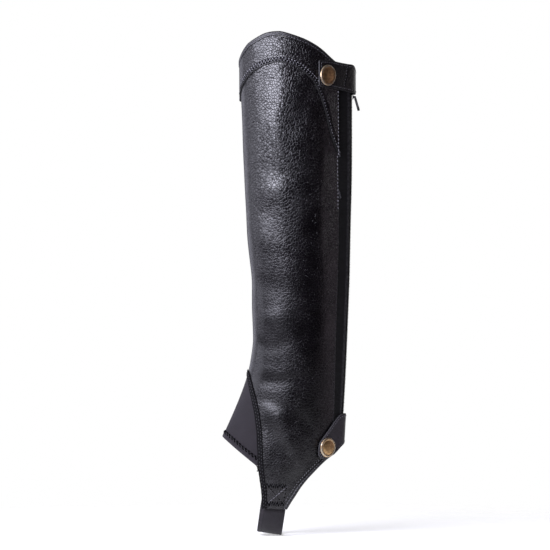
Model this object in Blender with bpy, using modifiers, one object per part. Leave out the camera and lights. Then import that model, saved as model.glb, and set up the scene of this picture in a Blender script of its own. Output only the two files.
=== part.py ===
"""Half chap: a leather gaiter for one lower leg, with a zip up the back and an elastic strap under the foot.

It is a left one, filled out as it is on a leg. +X is the outer side of the leg, -Y the shin and toes, +Z up.
The origin is on the leg's axis at the calf, where the leg holds it. Sizes are in millimetres here, and turn
into metres where a mesh is made.
"""

import functools
import math

import bmesh
import bpy
import numpy as np
from mathutils import Matrix, Vector

MM = 0.001
GAP = 0.3

# Thicknesses of the materials
LEATHER = 1.4
OVERLAY = 1.2
LINING = 1.0
STRETCH = 1.2
TAPE = 0.8
WEBBING = 1.6

# The leg's outline at each height. Front and back are where the side view ends, edge is how far back the
# outer leather reaches, and bow is 1 where the shin side is pointed like a bow over the instep.
RING_COLUMNS = ("height", "front", "back", "half_width", "bow", "edge")
RINGS = (
    (165, -55.6, 55.6, 46.5, 0.00, 42.0),
    (110, -55.2, 56.0, 49.5, 0.00, 42.0),
    (68, -54.1, 56.0, 50.0, 0.00, 42.2),
    (10, -51.5, 55.8, 48.5, 0.00, 42.8),
    (-40, -49.1, 54.6, 46.5, 0.00, 43.2),
    (-88, -44.9, 53.6, 44.0, 0.00, 42.2),
    (-130, -43.6, 52.0, 42.0, 0.05, 40.8),
    (-165, -44.6, 50.6, 40.5, 0.20, 39.8),
    (-190, -50.0, 49.4, 39.5, 0.50, 39.2),
    (-215, -59.6, 48.0, 39.0, 0.80, 38.6),
    (-246, -73.0, 46.2, 38.5, 1.00, 38.0),
    (-290, -86.0, 44.0, 36.5, 1.00, 37.4),
    (-345, -92.0, 42.0, 32.0, 1.00, 37.0),
)

# Controls of that outline, as shares of its half length and half width, from the shin by the outer side
OUTLINE_COLUMNS = ("calf_along", "calf_across", "bow_along", "bow_across")
OUTLINE = (
    (-1.00, 0.00, -1.06, 0.00),
    (-0.92, 0.72, -0.86, 0.40),
    (-0.42, 1.05, -0.44, 0.92),
    (0.15, 1.04, 0.15, 1.06),
    (0.52, 0.72, 0.52, 0.76),
    (0.86, 0.24, 0.86, 0.26),
    (1.06, -0.02, 1.06, -0.02),
    (0.86, -0.34, 0.86, -0.34),
    (0.52, -0.78, 0.52, -0.78),
    (0.12, -1.05, 0.15, -1.06),
    (-0.44, -1.04, -0.44, -0.92),
    (-0.92, -0.70, -0.86, -0.40),
)
OUTLINE_SAMPLES = 480

# The zip: the free width between the stretch panel and the inner leather, and its chain
ZIP_OPENING = 11.0
CHAIN_WIDTH = 5.0

# Lines on the chap as (y, z) in the side view, from the shin towards the back
TOP_OUTER = (
    (-56.6, 127), (-55.2, 131), (-53, 137), (-50, 142.5), (-46, 147.5), (-38, 153), (-30, 157),
    (-21, 158.6), (-12, 158), (6, 152), (17.7, 146), (26, 140), (32.4, 134), (38, 129), (42, 126),
)
TOP_INNER = (
    (-56.6, 127), (-52.3, 127.3), (-49, 126.7), (-44.7, 125.2), (-38.5, 123), (-33, 121), (-27.4, 119.6),
    (-16, 118), (0, 117.2), (20, 118.2), (36, 121), (48, 124),
)
YOKE_EDGE = (
    (-56, 88), (-54.8, 95.4), (-53.4, 102.5), (-47.6, 112.3), (-41, 119), (-34, 123.2), (-27.5, 125.8),
    (-20.8, 127.2), (-14, 127.7), (-7.4, 126.4), (1.5, 122.6), (9, 116.5), (16, 110), (20, 103),
    (23.5, 95), (26.5, 86), (29.4, 76), (33, 60), (37.6, 46), (41.4, 37),
)
GUSSET_SEAM = (
    (-48.4, -183), (-47.2, -190), (-45.8, -197), (-43.8, -206), (-41.6, -216), (-39.8, -228),
    (-38.4, -242), (-37.6, -258), (-37.0, -272),
)
FLAP_FRONT = ((-37.0, -272), (-36.2, -281), (-35.0, -290), (-33.8, -299), (-33.2, -308), (-32.8, -317))
HEM = (
    (-9.6, -318), (-5.2, -310.5), (-0.9, -304), (2.9, -298), (7.4, -292), (12.6, -286), (18.4, -280),
    (24.4, -274), (30.7, -268.5), (37, -264),
)
HEM_AT_ZIP = -257.5
TOP_AT_ZIP = 124.6
INSTEP_HEM = (
    (-73.2, -247), (-71.6, -248.6), (-67.5, -252), (-60.5, -258), (-53.0, -264), (-45.6, -269.8), (-38.6, -275.4),
)

TOP_BINDING_WIDTH = 4.5
HEM_BINDING_WIDTH = 3.2
INSTEP_BAND_WIDTH = 6.0
SEAM_TAPE_WIDTH = 5.0

# The snap tabs: y, or the girth station past the leather's edge, with the heights of both edges
TOP_TAB = (
    (21.4, 128.6, 107.5), (22.2, 129.6, 104.6), (24.5, 130.0, 103.2), (32, 129.6, 102.2), (40, 127.6, 100.4),
)
TOP_TAB_BACK = ((1.5, 126.0, 98.6), (2.0, 124.6, 97.0), (2.5, 119.6, 95.6), (3.0, 116.8, 95.0), (3.16, 113.6, 94.6))
BOTTOM_TAB = (
    (21.4, -257.6, -263.4), (22.6, -252.2, -266.2), (25.2, -248.0, -268.0), (28.6, -243.4, -268.2),
    (34, -236.0, -265.0), (38, -230.4, -262.4),
)
BOTTOM_TAB_BACK = (
    (1.5, -225.4, -259.6), (2.0, -223.6, -256.2), (2.5, -223.4, -253.2), (3.0, -223.4, -252.0), (3.15, -223.4, -252.0),
)
TAB_THICKNESS = 1.5
TOP_SNAP_AT = (28.7, 114.6)
BOTTOM_SNAP_AT = (29.2, -256.4)

# The strap under the foot
STRAP_WIDTH = 24.8
STRAP_BOTTOM = -342.0
STRAP_TOP = -296.0
STRAP_LEAN = math.radians(8.5)
STRAP_CENTRE_Y = -23.2
STRAP_INSET = 4.2
STRAP_BEND = 15.0

# The zip's slider and pull, in the zip's own directions
SLIDER_AT = 97.0
SLIDER_LENGTH = 13.0
SLIDER_WIDTH = 8.4
SLIDER_BASE = 0.5
SLIDER_TOP = 1.3
PIVOT_DROP = 4.3
PIVOT_OUT = 2.9
PIN_RADIUS = 0.5
LUG_WIDTH = 0.8
LUG_LENGTH = 2.2
EYE_RADIUS = 1.25
EYE_HOLE = 0.85
PULL_LENGTH = 14.0
PULL_WIDTH = 4.2
PULL_THICKNESS = 1.2
PULL_HANG = math.radians(16)


# Mesh density
COLUMN_SPACING = 8.0
BODY_ROWS = 20
BODY_CROWD = 1.25
YOKE_ROWS = 4
STRETCH_COLUMNS = 5

# Smaller sizes
FLAP_BACK = (-13.6, -317.7)
YOKE_REACH = -0.03
TAPE_UNDER = 8.0
SEAM_STRIP = ((-1.0, 0.45), (-1.0, 0.9), (0.0, 1.3), (3.6, 1.3), (4.2, 0.95), (4.2, 0.45))
CHAIN_PROFILE = ((-2.5, -2.3), (-2.5, -0.9), (-1.4, -0.1), (0, 0.2), (1.4, -0.1), (2.5, -0.9), (2.5, -2.3))
TOP_TAB_OUTS = (3.3, 3.3, 3.4, 3.7, 3.9, 3.9, 3.9, 3.9, 3.8, 1.8)
BOTTOM_TAB_OUTS = (2.8, 2.8, 2.8, 2.8, 2.8, 2.8, 2.8, 2.8, 2.8, 2.3, 1.8)
SNAP_PROFILE = ((0, 2.7), (4.0, 2.5), (6.8, 2.0), (7.6, 1.8), (9.2, 1.9), (10.3, 1.3), (10.5, 0.6), (9.6, 0), (0, 0))
SNAP_SIDES = 24

def spline_through(knots, values):
    """A function that gives the natural cubic spline through these values."""
    x, y = np.array(knots, float), np.array(values, float)
    h = np.diff(x)
    slopes = np.diff(y) / h
    system = np.eye(len(x))
    bends = np.zeros(len(x))
    for i in range(1, len(x) - 1):
        system[i, i - 1 : i + 2] = h[i - 1], 2 * (h[i - 1] + h[i]), h[i]
        bends[i] = 6 * (slopes[i] - slopes[i - 1])
    m = np.linalg.solve(system, bends)

    def at(q):
        i = int(np.clip(np.searchsorted(x, q) - 1, 0, len(h) - 1))
        a, b = x[i + 1] - q, q - x[i]
        return (
            (m[i] * a**3 + m[i + 1] * b**3) / (6 * h[i])
            + (y[i] / h[i] - m[i] * h[i] / 6) * a
            + (y[i + 1] / h[i] - m[i + 1] * h[i] / 6) * b
        )

    return at


def closed_spline_weights(samples, controls):
    """Weights of a closed cubic B-spline's controls at evenly spaced samples."""
    weights = np.zeros((samples, controls))
    for k in range(samples):
        i, f = divmod(k * controls / samples, 1)
        parts = ((1 - f) ** 3, 3 * f**3 - 6 * f**2 + 4, -3 * f**3 + 3 * f**2 + 3 * f + 1, f**3)
        for j, part in enumerate(parts):
            weights[k, (int(i) - 1 + j) % controls] += part / 6
    return weights


RING_VALUES = {
    name: spline_through([row[0] for row in RINGS[::-1]], [row[c] for row in RINGS[::-1]])
    for c, name in enumerate(RING_COLUMNS)
}
OUTLINE_WEIGHTS = closed_spline_weights(OUTLINE_SAMPLES, len(OUTLINE))


@functools.lru_cache(maxsize=None)
def ring(z):
    """The outline at a height: its points, the girth up to each, and the girth at each station."""
    bow = RING_VALUES["bow"](z)
    table = np.array(OUTLINE)
    shape = OUTLINE_WEIGHTS @ ((1 - bow) * table[:, :2] + bow * table[:, 2:])
    along = np.interp(shape[:, 0], (shape[:, 0].min(), shape[:, 0].max()), (-1, 1))
    across = shape[:, 1] / np.abs(shape[:, 1]).max()
    front, back = RING_VALUES["front"](z), RING_VALUES["back"](z)
    y = (front + back) / 2 + along * (back - front) / 2
    x = across * RING_VALUES["half_width"](z)
    points = np.column_stack((np.append(x, x[0]), np.append(y, y[0])))
    girths = np.append(0, np.cumsum(np.linalg.norm(np.diff(points, axis=0), axis=1)))
    half = OUTLINE_SAMPLES // 2
    widest = int(np.argmax(x[:half]))
    edge = np.interp(RING_VALUES["edge"](z), y[widest:half], girths[widest:half])
    whole, middle = girths[-1], girths[half]
    zip_sides = middle - ZIP_OPENING / 2, middle + ZIP_OPENING / 2
    # Stations round the leg: the shin is 0 and 4, the outer leather ends at 1, the zip's sides are 2 and 3
    stations = (zip_sides[1] - whole, 0.0, edge, zip_sides[0], zip_sides[1], whole)
    return points, girths, stations


STATION_NUMBERS = (-1, 0, 1, 2, 3, 4)


def girth_at(station, z):
    return float(np.interp(station, STATION_NUMBERS, ring(round(z, 2))[2]))


def station_at(girth, z):
    return float(np.interp(girth, ring(round(z, 2))[2], STATION_NUMBERS))


def outline_point(girth, z):
    points, girths, _ = ring(round(z, 2))
    at = girth % girths[-1]
    return Vector((np.interp(at, girths, points[:, 0]), np.interp(at, girths, points[:, 1]), z))


def frame_at(girth, z):
    """Point, direction round the leg, and outward normal of the leather's face."""
    step = 1.5
    round_leg = outline_point(girth + step, z) - outline_point(girth - step, z)
    station = station_at(girth % ring(round(z, 2))[1][-1], z)
    up = outline_point(girth_at(station, z + step), z + step) - outline_point(girth_at(station, z - step), z - step)
    return outline_point(girth, z), round_leg.normalized(), round_leg.cross(up).normalized()


def on_face(girth, z, out):
    point, _, normal = frame_at(girth, z)
    return point + normal * out


def smooth_path(points, steps=6):
    """More points on a smooth curve through these ones."""
    p = [Vector(q) for q in points]
    p = [2 * p[0] - p[1], *p, 2 * p[-1] - p[-2]]
    found = []
    for a, b, c, d in zip(p, p[1:], p[2:], p[3:]):
        for k in range(steps):
            f = k / steps
            found.append(
                0.5 * (2 * b + (c - a) * f + (2 * a - 5 * b + 4 * c - d) * f**2 + (3 * b - a - 3 * c + d) * f**3)
            )
    return [*found, p[-2]]


def station_of(y, z, side):
    """The station of a point that the side view shows at y, on the outer side (1) or the inner one (-1)."""
    points, girths, _ = ring(round(z, 2))
    half = OUTLINE_SAMPLES // 2
    order = slice(0, half + 1) if side > 0 else slice(OUTLINE_SAMPLES, half - 1, -1)
    ys = np.maximum.accumulate(points[order, 1])
    girth = float(np.interp(y, ys, girths[order]))
    return station_at(girth if side > 0 else girth - girths[-1], z)


def side_line(points, side):
    """(station, z) along a line that is given in the side view."""
    return [(station_of(y, z, side), z) for y, z in smooth_path(points)]


def girth_line(line):
    return np.array([(girth_at(t, z), z) for t, z in line])


def line_normals(flat, upright=()):
    """Unit normals of a line on the flattened cloth, on its right-hand side, and vertical at any upright end."""
    tangents = np.gradient(flat, axis=0)
    tangents /= np.linalg.norm(tangents, axis=1)[:, None]
    normals = np.column_stack((tangents[:, 1], -tangents[:, 0]))
    for end in upright:
        normals[end] = 0, 1 / normals[end][1]
    return normals


def moved(line, distance, upright=()):
    """The line moved to its right-hand side over the cloth: down, for a line that runs towards the back."""
    flat = girth_line(line)
    flat = flat + distance * line_normals(flat, upright)
    return [(station_at(g, z), z) for g, z in flat]


def height_on(line):
    ordered = sorted(line)
    stations, heights = zip(*ordered)
    return lambda t: float(np.interp(t, stations, heights))


def top_line():
    """The top edge, from the inner side of the zip round by the shin to the outer side of the zip."""
    inner = side_line(TOP_INNER, -1)[::-1]
    outer = side_line(TOP_OUTER, 1)
    fall = TOP_AT_ZIP - TOP_OUTER[-1][1]
    back = [(1 + k / 3, TOP_OUTER[-1][1] + fall * k / 3) for k in (1, 2, 3)]
    return [(-1.0, TOP_AT_ZIP)] + [p for p in inner[:-1] if p[0] > -0.99] + outer + back


def hem_line(side):
    """The bound back hem of one side, from the strap to the zip."""
    last = 2.0 if side > 0 else -1.0
    sewn = side_line(HEM, side)
    (t, z), steps = sewn[-1], 4
    near_zip = [(t + (last - t) * k / steps, z + (HEM_AT_ZIP - z) * k / steps) for k in range(1, steps + 1)]
    return thinned(sewn + near_zip, COLUMN_SPACING)


def opening_line():
    """The seam round the instep's stretch panel: up the outer side, over the shin and down the inner side."""
    seam = GUSSET_SEAM + FLAP_FRONT[1:]
    return thinned(side_line(seam, 1)[:0:-1] + side_line(seam, -1), COLUMN_SPACING)


def up_to(line, last):
    """The line as far as a station on its own side of the shin."""
    side = math.copysign(1, last)
    return [p for p in line if p[0] * side < last * side - 0.02] + [(last, height_on(line)(last))]


def beside(point, distance):
    """The point moved this far round the leg."""
    station, z = point
    return station_at(girth_at(station, z) + distance, z), z


def leather_edges():
    """The leather's lower edge and its top edge, with one point of each for every column of the mesh."""
    edge = {}
    for side, last in ((-1, -1.0), (1, 1.0)):
        hem = moved(hem_line(side), -side * (HEM_BINDING_WIDTH + GAP), (-1,))
        bottom = thinned(side_line((FLAP_FRONT[-1], FLAP_BACK), side), COLUMN_SPACING)[1:]
        edge[side] = bottom + up_to(hem, last)
        edge[side][-1] = last, edge[side][-1][1] + GAP
    opening = moved(opening_line(), GAP / 2)[::-1]
    lows = edge[-1][::-1] + opening + edge[1]
    middle = len(edge[-1]) + len(opening) // 2
    stations = [
        -(middle - k) / middle if k < middle else (k - middle) / (len(lows) - 1 - middle) for k in range(len(lows))
    ]
    height = height_on(top_line())
    return lows, [(t, height(t)) for t in stations]


def mesh_object(name, mesh, material):
    part = bpy.data.objects.new(name, mesh)
    mesh.materials.append(material)
    bpy.data.collections["half_chap"].objects.link(part)
    return part


def between(low, high, share):
    return [a + (b - a) * share for a, b in zip(low, high)]


def wall(name, lows, highs, rows, out, thickness, material, crowd=1.0):
    """A cloth wall from one edge to the other, outer face at out, its rows closer together below where crowd > 1."""
    outs = out if isinstance(out, (list, tuple)) else [out] * len(lows)
    points = []
    for low, high, face in zip(lows, highs, outs):
        for r in range(rows + 1):
            station, z = between(low, high, (r / rows) ** crowd)
            points.append(on_face(girth_at(station, z), z, face) * MM)
    step = rows + 1
    faces = [
        (c * step + r, (c + 1) * step + r, (c + 1) * step + r + 1, c * step + r + 1)
        for c in range(len(lows) - 1)
        for r in range(rows)
    ]
    mesh = bpy.data.meshes.new(name)
    mesh.from_pydata(points, [], faces)
    mesh.shade_smooth()
    part = mesh_object(name, mesh, material)
    thick = part.modifiers.new("Thickness", "SOLIDIFY")
    thick.thickness = thickness * MM
    thick.offset = -1
    return part


def closed_mesh(name, points, faces, material):
    mesh = bpy.data.meshes.new(name)
    mesh.from_pydata([p * MM for p in points], [], faces)
    shell = bmesh.new()
    shell.from_mesh(mesh)
    bmesh.ops.recalc_face_normals(shell, faces=shell.faces)
    shell.to_mesh(mesh)
    shell.free()
    return mesh_object(name, mesh, material)


def swept(name, rings, material):
    """A closed body through rings that all have the same number of points."""
    count = len(rings[0])
    faces = [
        (a * count + k, a * count + (k + 1) % count, (a + 1) * count + (k + 1) % count, (a + 1) * count + k)
        for a in range(len(rings) - 1)
        for k in range(count)
    ]
    last = (len(rings) - 1) * count
    faces += [tuple(range(count))[::-1], tuple(last + k for k in range(count))]
    return closed_mesh(name, [p for ring_points in rings for p in ring_points], faces, material)


def trim(name, line, profile_of, material, upright=()):
    """A strip along a line: its profile's points are (distance to the line's right, height off the leather)."""
    flat = girth_line(line)
    rings = []
    for (station, _), (g, z), (across, up) in zip(line, flat, line_normals(flat, upright)):
        rings.append([on_face(g + w * across, z + w * up, out) for w, out in profile_of(station)])
    return swept(name, rings, material)


def folded(width, out, under, side=1):
    """The profile of a strip that is folded round an edge."""
    return (
        (0, -under + 0.7), (0, out - 0.9), (side * width * 0.25, out),
        (side * width, out - 0.3), (side * width, -under + 0.2), (side * width * 0.25, -under),
    )


def thinned(line, spacing):
    """The same line with its points evenly spaced over the cloth."""
    flat = girth_line(line)
    lengths = np.append(0, np.cumsum(np.linalg.norm(np.diff(flat, axis=0), axis=1)))
    count = max(2, round(lengths[-1] / spacing)) + 1
    at = np.linspace(0, lengths[-1], count)
    stations, heights = np.array(line).T
    return list(zip(np.interp(at, lengths, stations), np.interp(at, lengths, heights)))


def material(name, color, roughness, metallic=0.0):
    made = bpy.data.materials.new(name)
    made.use_nodes = True
    shader = made.node_tree.nodes["Principled BSDF"]
    shader.inputs["Base Color"].default_value = (*color, 1)
    shader.inputs["Roughness"].default_value = roughness
    shader.inputs["Metallic"].default_value = metallic
    return made


def build_leather(looks):
    """The body, the yoke on its outer side, the lining, and the strips that bind their edges."""
    lows, tops = leather_edges()
    stretch_columns = [(1 + k / STRETCH_COLUMNS) for k in range(1, STRETCH_COLUMNS + 1)]
    height = height_on(top_line())
    top = tops + [(t, height(t)) for t in stretch_columns]
    highs = moved(top, TOP_BINDING_WIDTH + GAP)
    count = len(lows)
    leather_highs = highs[:count]
    lows[-1], leather_highs[-1] = beside(lows[-1], -GAP / 2), beside(leather_highs[-1], -GAP / 2)
    wall("body_leather", lows, leather_highs, BODY_ROWS, 0.0, LEATHER, looks["leather"], BODY_CROWD)

    skip = lows[0], leather_highs[0]
    short_lows = [beside((skip[0][0], skip[0][1] + 2 * GAP), TAPE_UNDER + GAP)] + lows[2:]
    short_highs = [beside((skip[1][0], skip[1][1] - 2 * GAP), TAPE_UNDER + GAP)] + leather_highs[2:]
    under = -LEATHER - GAP
    wall("lining", short_lows, short_highs, BODY_ROWS, under, LINING, looks["lining"], BODY_CROWD)

    edge = height_on([(YOKE_REACH, YOKE_EDGE[0][1] + 2)] + side_line(YOKE_EDGE, 1))
    yoke_lows, yoke_highs = [], []
    for low, high in zip(lows, leather_highs):
        if high[0] < YOKE_REACH:
            continue
        share = 0.8
        for _ in range(12):
            station, z = between(low, high, share)
            share = (edge(station) - low[1]) / (high[1] - low[1])
        yoke_lows.append(between(low, high, share))
        yoke_highs.append(high)
    wall("yoke", yoke_lows, yoke_highs, YOKE_ROWS, GAP + OVERLAY, OVERLAY, looks["yoke"])

    trim("top_binding", top, lambda t: folded(TOP_BINDING_WIDTH, 2.0 if t > YOKE_REACH else 1.0, 3.1), looks["binding"])
    for side, name in ((1, "outer"), (-1, "inner")):
        trim(f"hem_binding_{name}", hem_line(side), lambda t: folded(HEM_BINDING_WIDTH, 0.9, 3.0, -side),
             looks["binding"], (-1,))

    hem = moved(hem_line(1), -HEM_BINDING_WIDTH - GAP, (-1,))
    stretch = [1.0, *stretch_columns]
    stretch_lows = [(t, height_on(hem)(t) + GAP) for t in stretch]
    stretch_highs = highs[count - 1 :]
    stretch_highs[0] = tops[-1][0], highs[count - 1][1]
    stretch_lows[0], stretch_highs[0] = beside(stretch_lows[0], GAP / 2), beside(stretch_highs[0], GAP / 2)
    wall("stretch_panel", stretch_lows, stretch_highs, BODY_ROWS, 0.0, STRETCH, looks["stretch"], BODY_CROWD)


def build_instep(looks):
    """The stretch panel over the instep, its turned hem, and the strip that covers its seam."""
    seam = opening_line()
    trim("instep_seam_strip", seam, lambda t: SEAM_STRIP, looks["binding"])
    hem = side_line(INSTEP_HEM, 1)[::-1][:-1] + side_line(INSTEP_HEM, -1)
    hem[0], hem[-1] = beside(hem[0], -1.4), beside(hem[-1], 1.4)
    hem = thinned(hem, COLUMN_SPACING)
    trim("instep_hem", hem, lambda t: folded(INSTEP_BAND_WIDTH, 0.6, 1.8), looks["hem"], (0, -1))
    low = moved(hem, INSTEP_BAND_WIDTH + 2 * GAP, (0, -1))
    arch = moved([p for p in seam if p[1] > low[0][1] + 2], -GAP / 2)
    arch = thinned(arch, COLUMN_SPACING)
    flat = girth_line(low)
    lengths = np.append(0, np.cumsum(np.linalg.norm(np.diff(flat, axis=0), axis=1)))
    at = np.linspace(0, lengths[-1], len(arch))
    stations, heights = np.array(low).T
    lows = list(zip(np.interp(at, lengths, stations), np.interp(at, lengths, heights)))
    wall("instep_panel", lows[::-1], arch[::-1], 6, 0.0, STRETCH, looks["stretch"])


def build_zip(looks):
    """Both tapes, the chain between them, and the slider with its pull."""
    hem = {side: moved(hem_line(side), -side * (HEM_BINDING_WIDTH + GAP), (-1,)) for side in (1, -1)}
    top = TOP_AT_ZIP - TOP_BINDING_WIDTH - GAP
    shown = (ZIP_OPENING - CHAIN_WIDTH) / 2 - GAP
    for side, station, name in ((1, 2.0, "outer"), (-1, 3.0, "inner")):
        shifts = [-TAPE_UNDER * side, -TAPE_UNDER * side / 2, 0.0, shown * side]
        lows = [beside((station, hem[side][-1][1] + 0.6), shift) for shift in shifts]
        highs = [beside((station, top - 0.6), shift) for shift in shifts]
        if side < 0:
            lows, highs = lows[::-1], highs[::-1]
        wall(f"zip_tape_{name}", lows, highs, BODY_ROWS, -LEATHER - GAP, TAPE, looks["tape"])
    rings = []
    for z in spread(HEM_AT_ZIP + 1.5, TOP_AT_ZIP - 1.5, BODY_ROWS):
        middle = girth_at(2.5, z)
        rings.append([on_face(middle + w, z, out) for w, out in CHAIN_PROFILE])
    swept("zip_chain", rings, looks["chain"])


def surface_matrix(girth, z, out, spin=0.0):
    """An object's place on the cloth: X round the leg, Y up and Z out of the cloth."""
    _, across, normal = frame_at(girth, z)
    turn = Matrix((across, normal.cross(across), normal)).transposed().to_4x4()
    return Matrix.Translation(on_face(girth, z, out) * MM) @ turn @ Matrix.Rotation(spin, 4, "X")


def placed(name, shell, matrix, material):
    mesh = bpy.data.meshes.new(name)
    shell.to_mesh(mesh)
    shell.free()
    part = mesh_object(name, mesh, material)
    part.matrix_world = matrix
    return part


def block(name, size, middle, matrix, material):
    shell = bmesh.new()
    sized = Matrix.Diagonal((*(Vector(size) * MM), 1))
    bmesh.ops.create_cube(shell, size=1, matrix=Matrix.Translation(Vector(middle) * MM) @ sized)
    return placed(name, shell, matrix, material)


def rod(name, radius, length, middle, matrix, material, segments=16):
    """A cylinder that lies along its object's X."""
    shell = bmesh.new()
    along_x = Matrix.Translation(Vector(middle) * MM) @ Matrix.Rotation(math.pi / 2, 4, "Y")
    bmesh.ops.create_cone(
        shell, cap_ends=True, segments=segments, radius1=radius * MM, radius2=radius * MM, depth=length * MM,
        matrix=along_x,
    )
    return placed(name, shell, matrix, material)


def combined(base, other, operation):
    """The base after the other body is joined to it or cut from it."""
    step = base.modifiers.new(operation.title(), "BOOLEAN")
    step.operation = operation
    step.solver = "EXACT"
    step.object = other
    other.hide_render = True
    other.display_type = "WIRE"
    bpy.data.collections["half_chap"].objects.unlink(other)
    bpy.data.collections["cutters"].objects.link(other)


def rounded(part, width):
    edge = part.modifiers.new("Rounded edges", "BEVEL")
    edge.width = width * MM
    edge.segments = 2
    edge.limit_method = "ANGLE"


def build_slider(looks):
    """The zip's slider with the pin that its pull turns on, and the pull, whose origin is on the pin's axis."""
    metal = looks["metal"]
    girth = girth_at(2.5, SLIDER_AT)
    on_chain = surface_matrix(girth, SLIDER_AT, 0)
    slider = block(
        "zip_slider", (SLIDER_WIDTH, SLIDER_LENGTH, SLIDER_TOP - SLIDER_BASE), (0, 0, (SLIDER_TOP + SLIDER_BASE) / 2),
        on_chain, metal,
    )
    rounded(slider, 0.3)
    pivot = Vector((0, -PIVOT_DROP, PIVOT_OUT))
    lug_at = PULL_WIDTH / 2 + GAP + LUG_WIDTH / 2
    lug_height = PIVOT_OUT + 2 * PIN_RADIUS - SLIDER_TOP + GAP
    for side in (1, -1):
        middle = side * lug_at, pivot.y, SLIDER_TOP - GAP + lug_height / 2
        lug = block(f"slider_lug_{side}", (LUG_WIDTH, LUG_LENGTH, lug_height), middle, on_chain, metal)
        combined(slider, lug, "UNION")
    combined(slider, rod("slider_pin", PIN_RADIUS, 2 * lug_at, pivot, on_chain, metal, 12), "UNION")

    on_pin = on_chain @ Matrix.Translation(pivot * MM) @ Matrix.Rotation(-PULL_HANG, 4, "X")
    pull = rod("zip_pull", EYE_RADIUS, PULL_WIDTH, (0, 0, 0), on_pin, metal)
    blade_from = (EYE_HOLE + EYE_RADIUS) / 2
    size = PULL_WIDTH, PULL_LENGTH - blade_from, PULL_THICKNESS
    blade = block("pull_blade", size, (0, -(PULL_LENGTH + blade_from) / 2, 0), on_pin, metal)
    rounded(blade, 0.25)
    combined(pull, blade, "UNION")
    combined(pull, rod("pull_hole", EYE_HOLE, PULL_WIDTH + 2, (0, 0, 0), on_pin, metal), "DIFFERENCE")


def spread(low, high, count):
    return [low + (high - low) * k / count for k in range(count + 1)]


def tab(name, side_rows, back_rows, outs, material):
    """A snap tab: rows of (y or station, top, bottom) from its free end to the seam on the inner side."""
    lows, highs = [], []
    for y, top, bottom in side_rows:
        highs.append((girth_at(station_of(y, top, 1), top), top))
        lows.append((girth_at(station_of(y, bottom, 1), bottom), bottom))
    for station, top, bottom in back_rows:
        highs.append((girth_at(station, top), top))
        lows.append((girth_at(station, bottom), bottom))
    smooth = [smooth_path([(g, z, 0) for g, z in line], 2) for line in (lows, highs)]
    lows, highs = ([(station_at(p[0], p[1]), p[1]) for p in line] for line in smooth)
    at = np.linspace(0, len(outs) - 1, len(lows))
    heights = [float(h) for h in np.interp(at, range(len(outs)), outs)]
    return wall(name, lows, highs, 4, heights, TAB_THICKNESS, material)


def snap(name, y, z, base, material):
    """A snap's cap on the outer side: its half profile turned about the cap's axis."""
    girth = girth_at(station_of(y, z, 1), z)
    mesh = bpy.data.meshes.new(name)
    mesh.from_pydata(
        [(radius * MM, 0, height * MM) for radius, height in SNAP_PROFILE], [(k, k + 1) for k in range(len(SNAP_PROFILE) - 1)],
        [],
    )
    part = mesh_object(name, mesh, material)
    part.matrix_world = surface_matrix(girth, z, base)
    turn = part.modifiers.new("Turn", "SCREW")
    turn.steps = turn.render_steps = SNAP_SIDES
    turn.use_merge_vertices = True
    turn.merge_threshold = 0.0001


def build_tabs(looks):
    tab("top_tab", TOP_TAB, TOP_TAB_BACK, TOP_TAB_OUTS, looks["leather"])
    tab("bottom_tab", BOTTOM_TAB, BOTTOM_TAB_BACK, BOTTOM_TAB_OUTS, looks["leather"])
    snap("top_snap", *TOP_SNAP_AT, TOP_TAB_OUTS[2] + GAP, looks["brass"])
    snap("bottom_snap", *BOTTOM_SNAP_AT, BOTTOM_TAB_OUTS[0] + GAP, looks["brass"])


def strap_side_x(y, z, side):
    """How far out the strap's middle is on one side, inside the flap that it is sewn to."""
    return outline_point(girth_at(station_of(y, z, side), z), z).x - side * STRAP_INSET


def build_strap(looks):
    """The elastic band that is sewn inside both flaps and goes under the foot."""
    lean_cos, lean_sin = math.cos(STRAP_LEAN), math.sin(STRAP_LEAN)
    length = (STRAP_TOP - STRAP_BOTTOM) / lean_cos
    rings = []
    widths = spread(-STRAP_WIDTH / 2, STRAP_WIDTH / 2, 4)

    def side_view(across, down):
        y = STRAP_CENTRE_Y + across * lean_cos - (down - length / 2) * lean_sin
        return y, STRAP_TOP - down * lean_cos - across * lean_sin

    def column(across):
        """(x, down) along the loop at one place across the strap."""
        path = []
        for side in (1, -1):
            branch = [(strap_side_x(*side_view(across, d), side), d) for d in spread(0, length - STRAP_BEND, 5)]
            x, d = branch[-1]
            for k in range(1, 7):
                a = math.pi / 2 * k / 6
                branch.append((x - side * STRAP_BEND * (1 - math.cos(a)), d + STRAP_BEND * math.sin(a)))
            path += branch if side > 0 else branch[::-1]
        return path

    columns = [column(across) for across in widths]
    for k in range(len(columns[0])):
        faces = []
        for across, path in zip(widths, columns):
            before, after = path[max(k - 1, 0)], path[min(k + 1, len(path) - 1)]
            tangent = Vector((after[0] - before[0], after[1] - before[1])).normalized()
            normal = Vector((tangent.y, -tangent.x)) * WEBBING / 2
            faces.append([(across, Vector(path[k]) + normal * s) for s in (1, -1)])
        order = [f[0] for f in faces] + [f[1] for f in faces[::-1]]
        rings.append([Vector((p.x, *side_view(across, p.y))) for across, p in order])
    swept("foot_strap", rings, looks["webbing"])


def clear_scene():
    for old in list(bpy.data.objects):
        bpy.data.objects.remove(old)
    for name in ("half_chap", "cutters"):
        bpy.context.scene.collection.children.link(bpy.data.collections.new(name))


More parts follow.
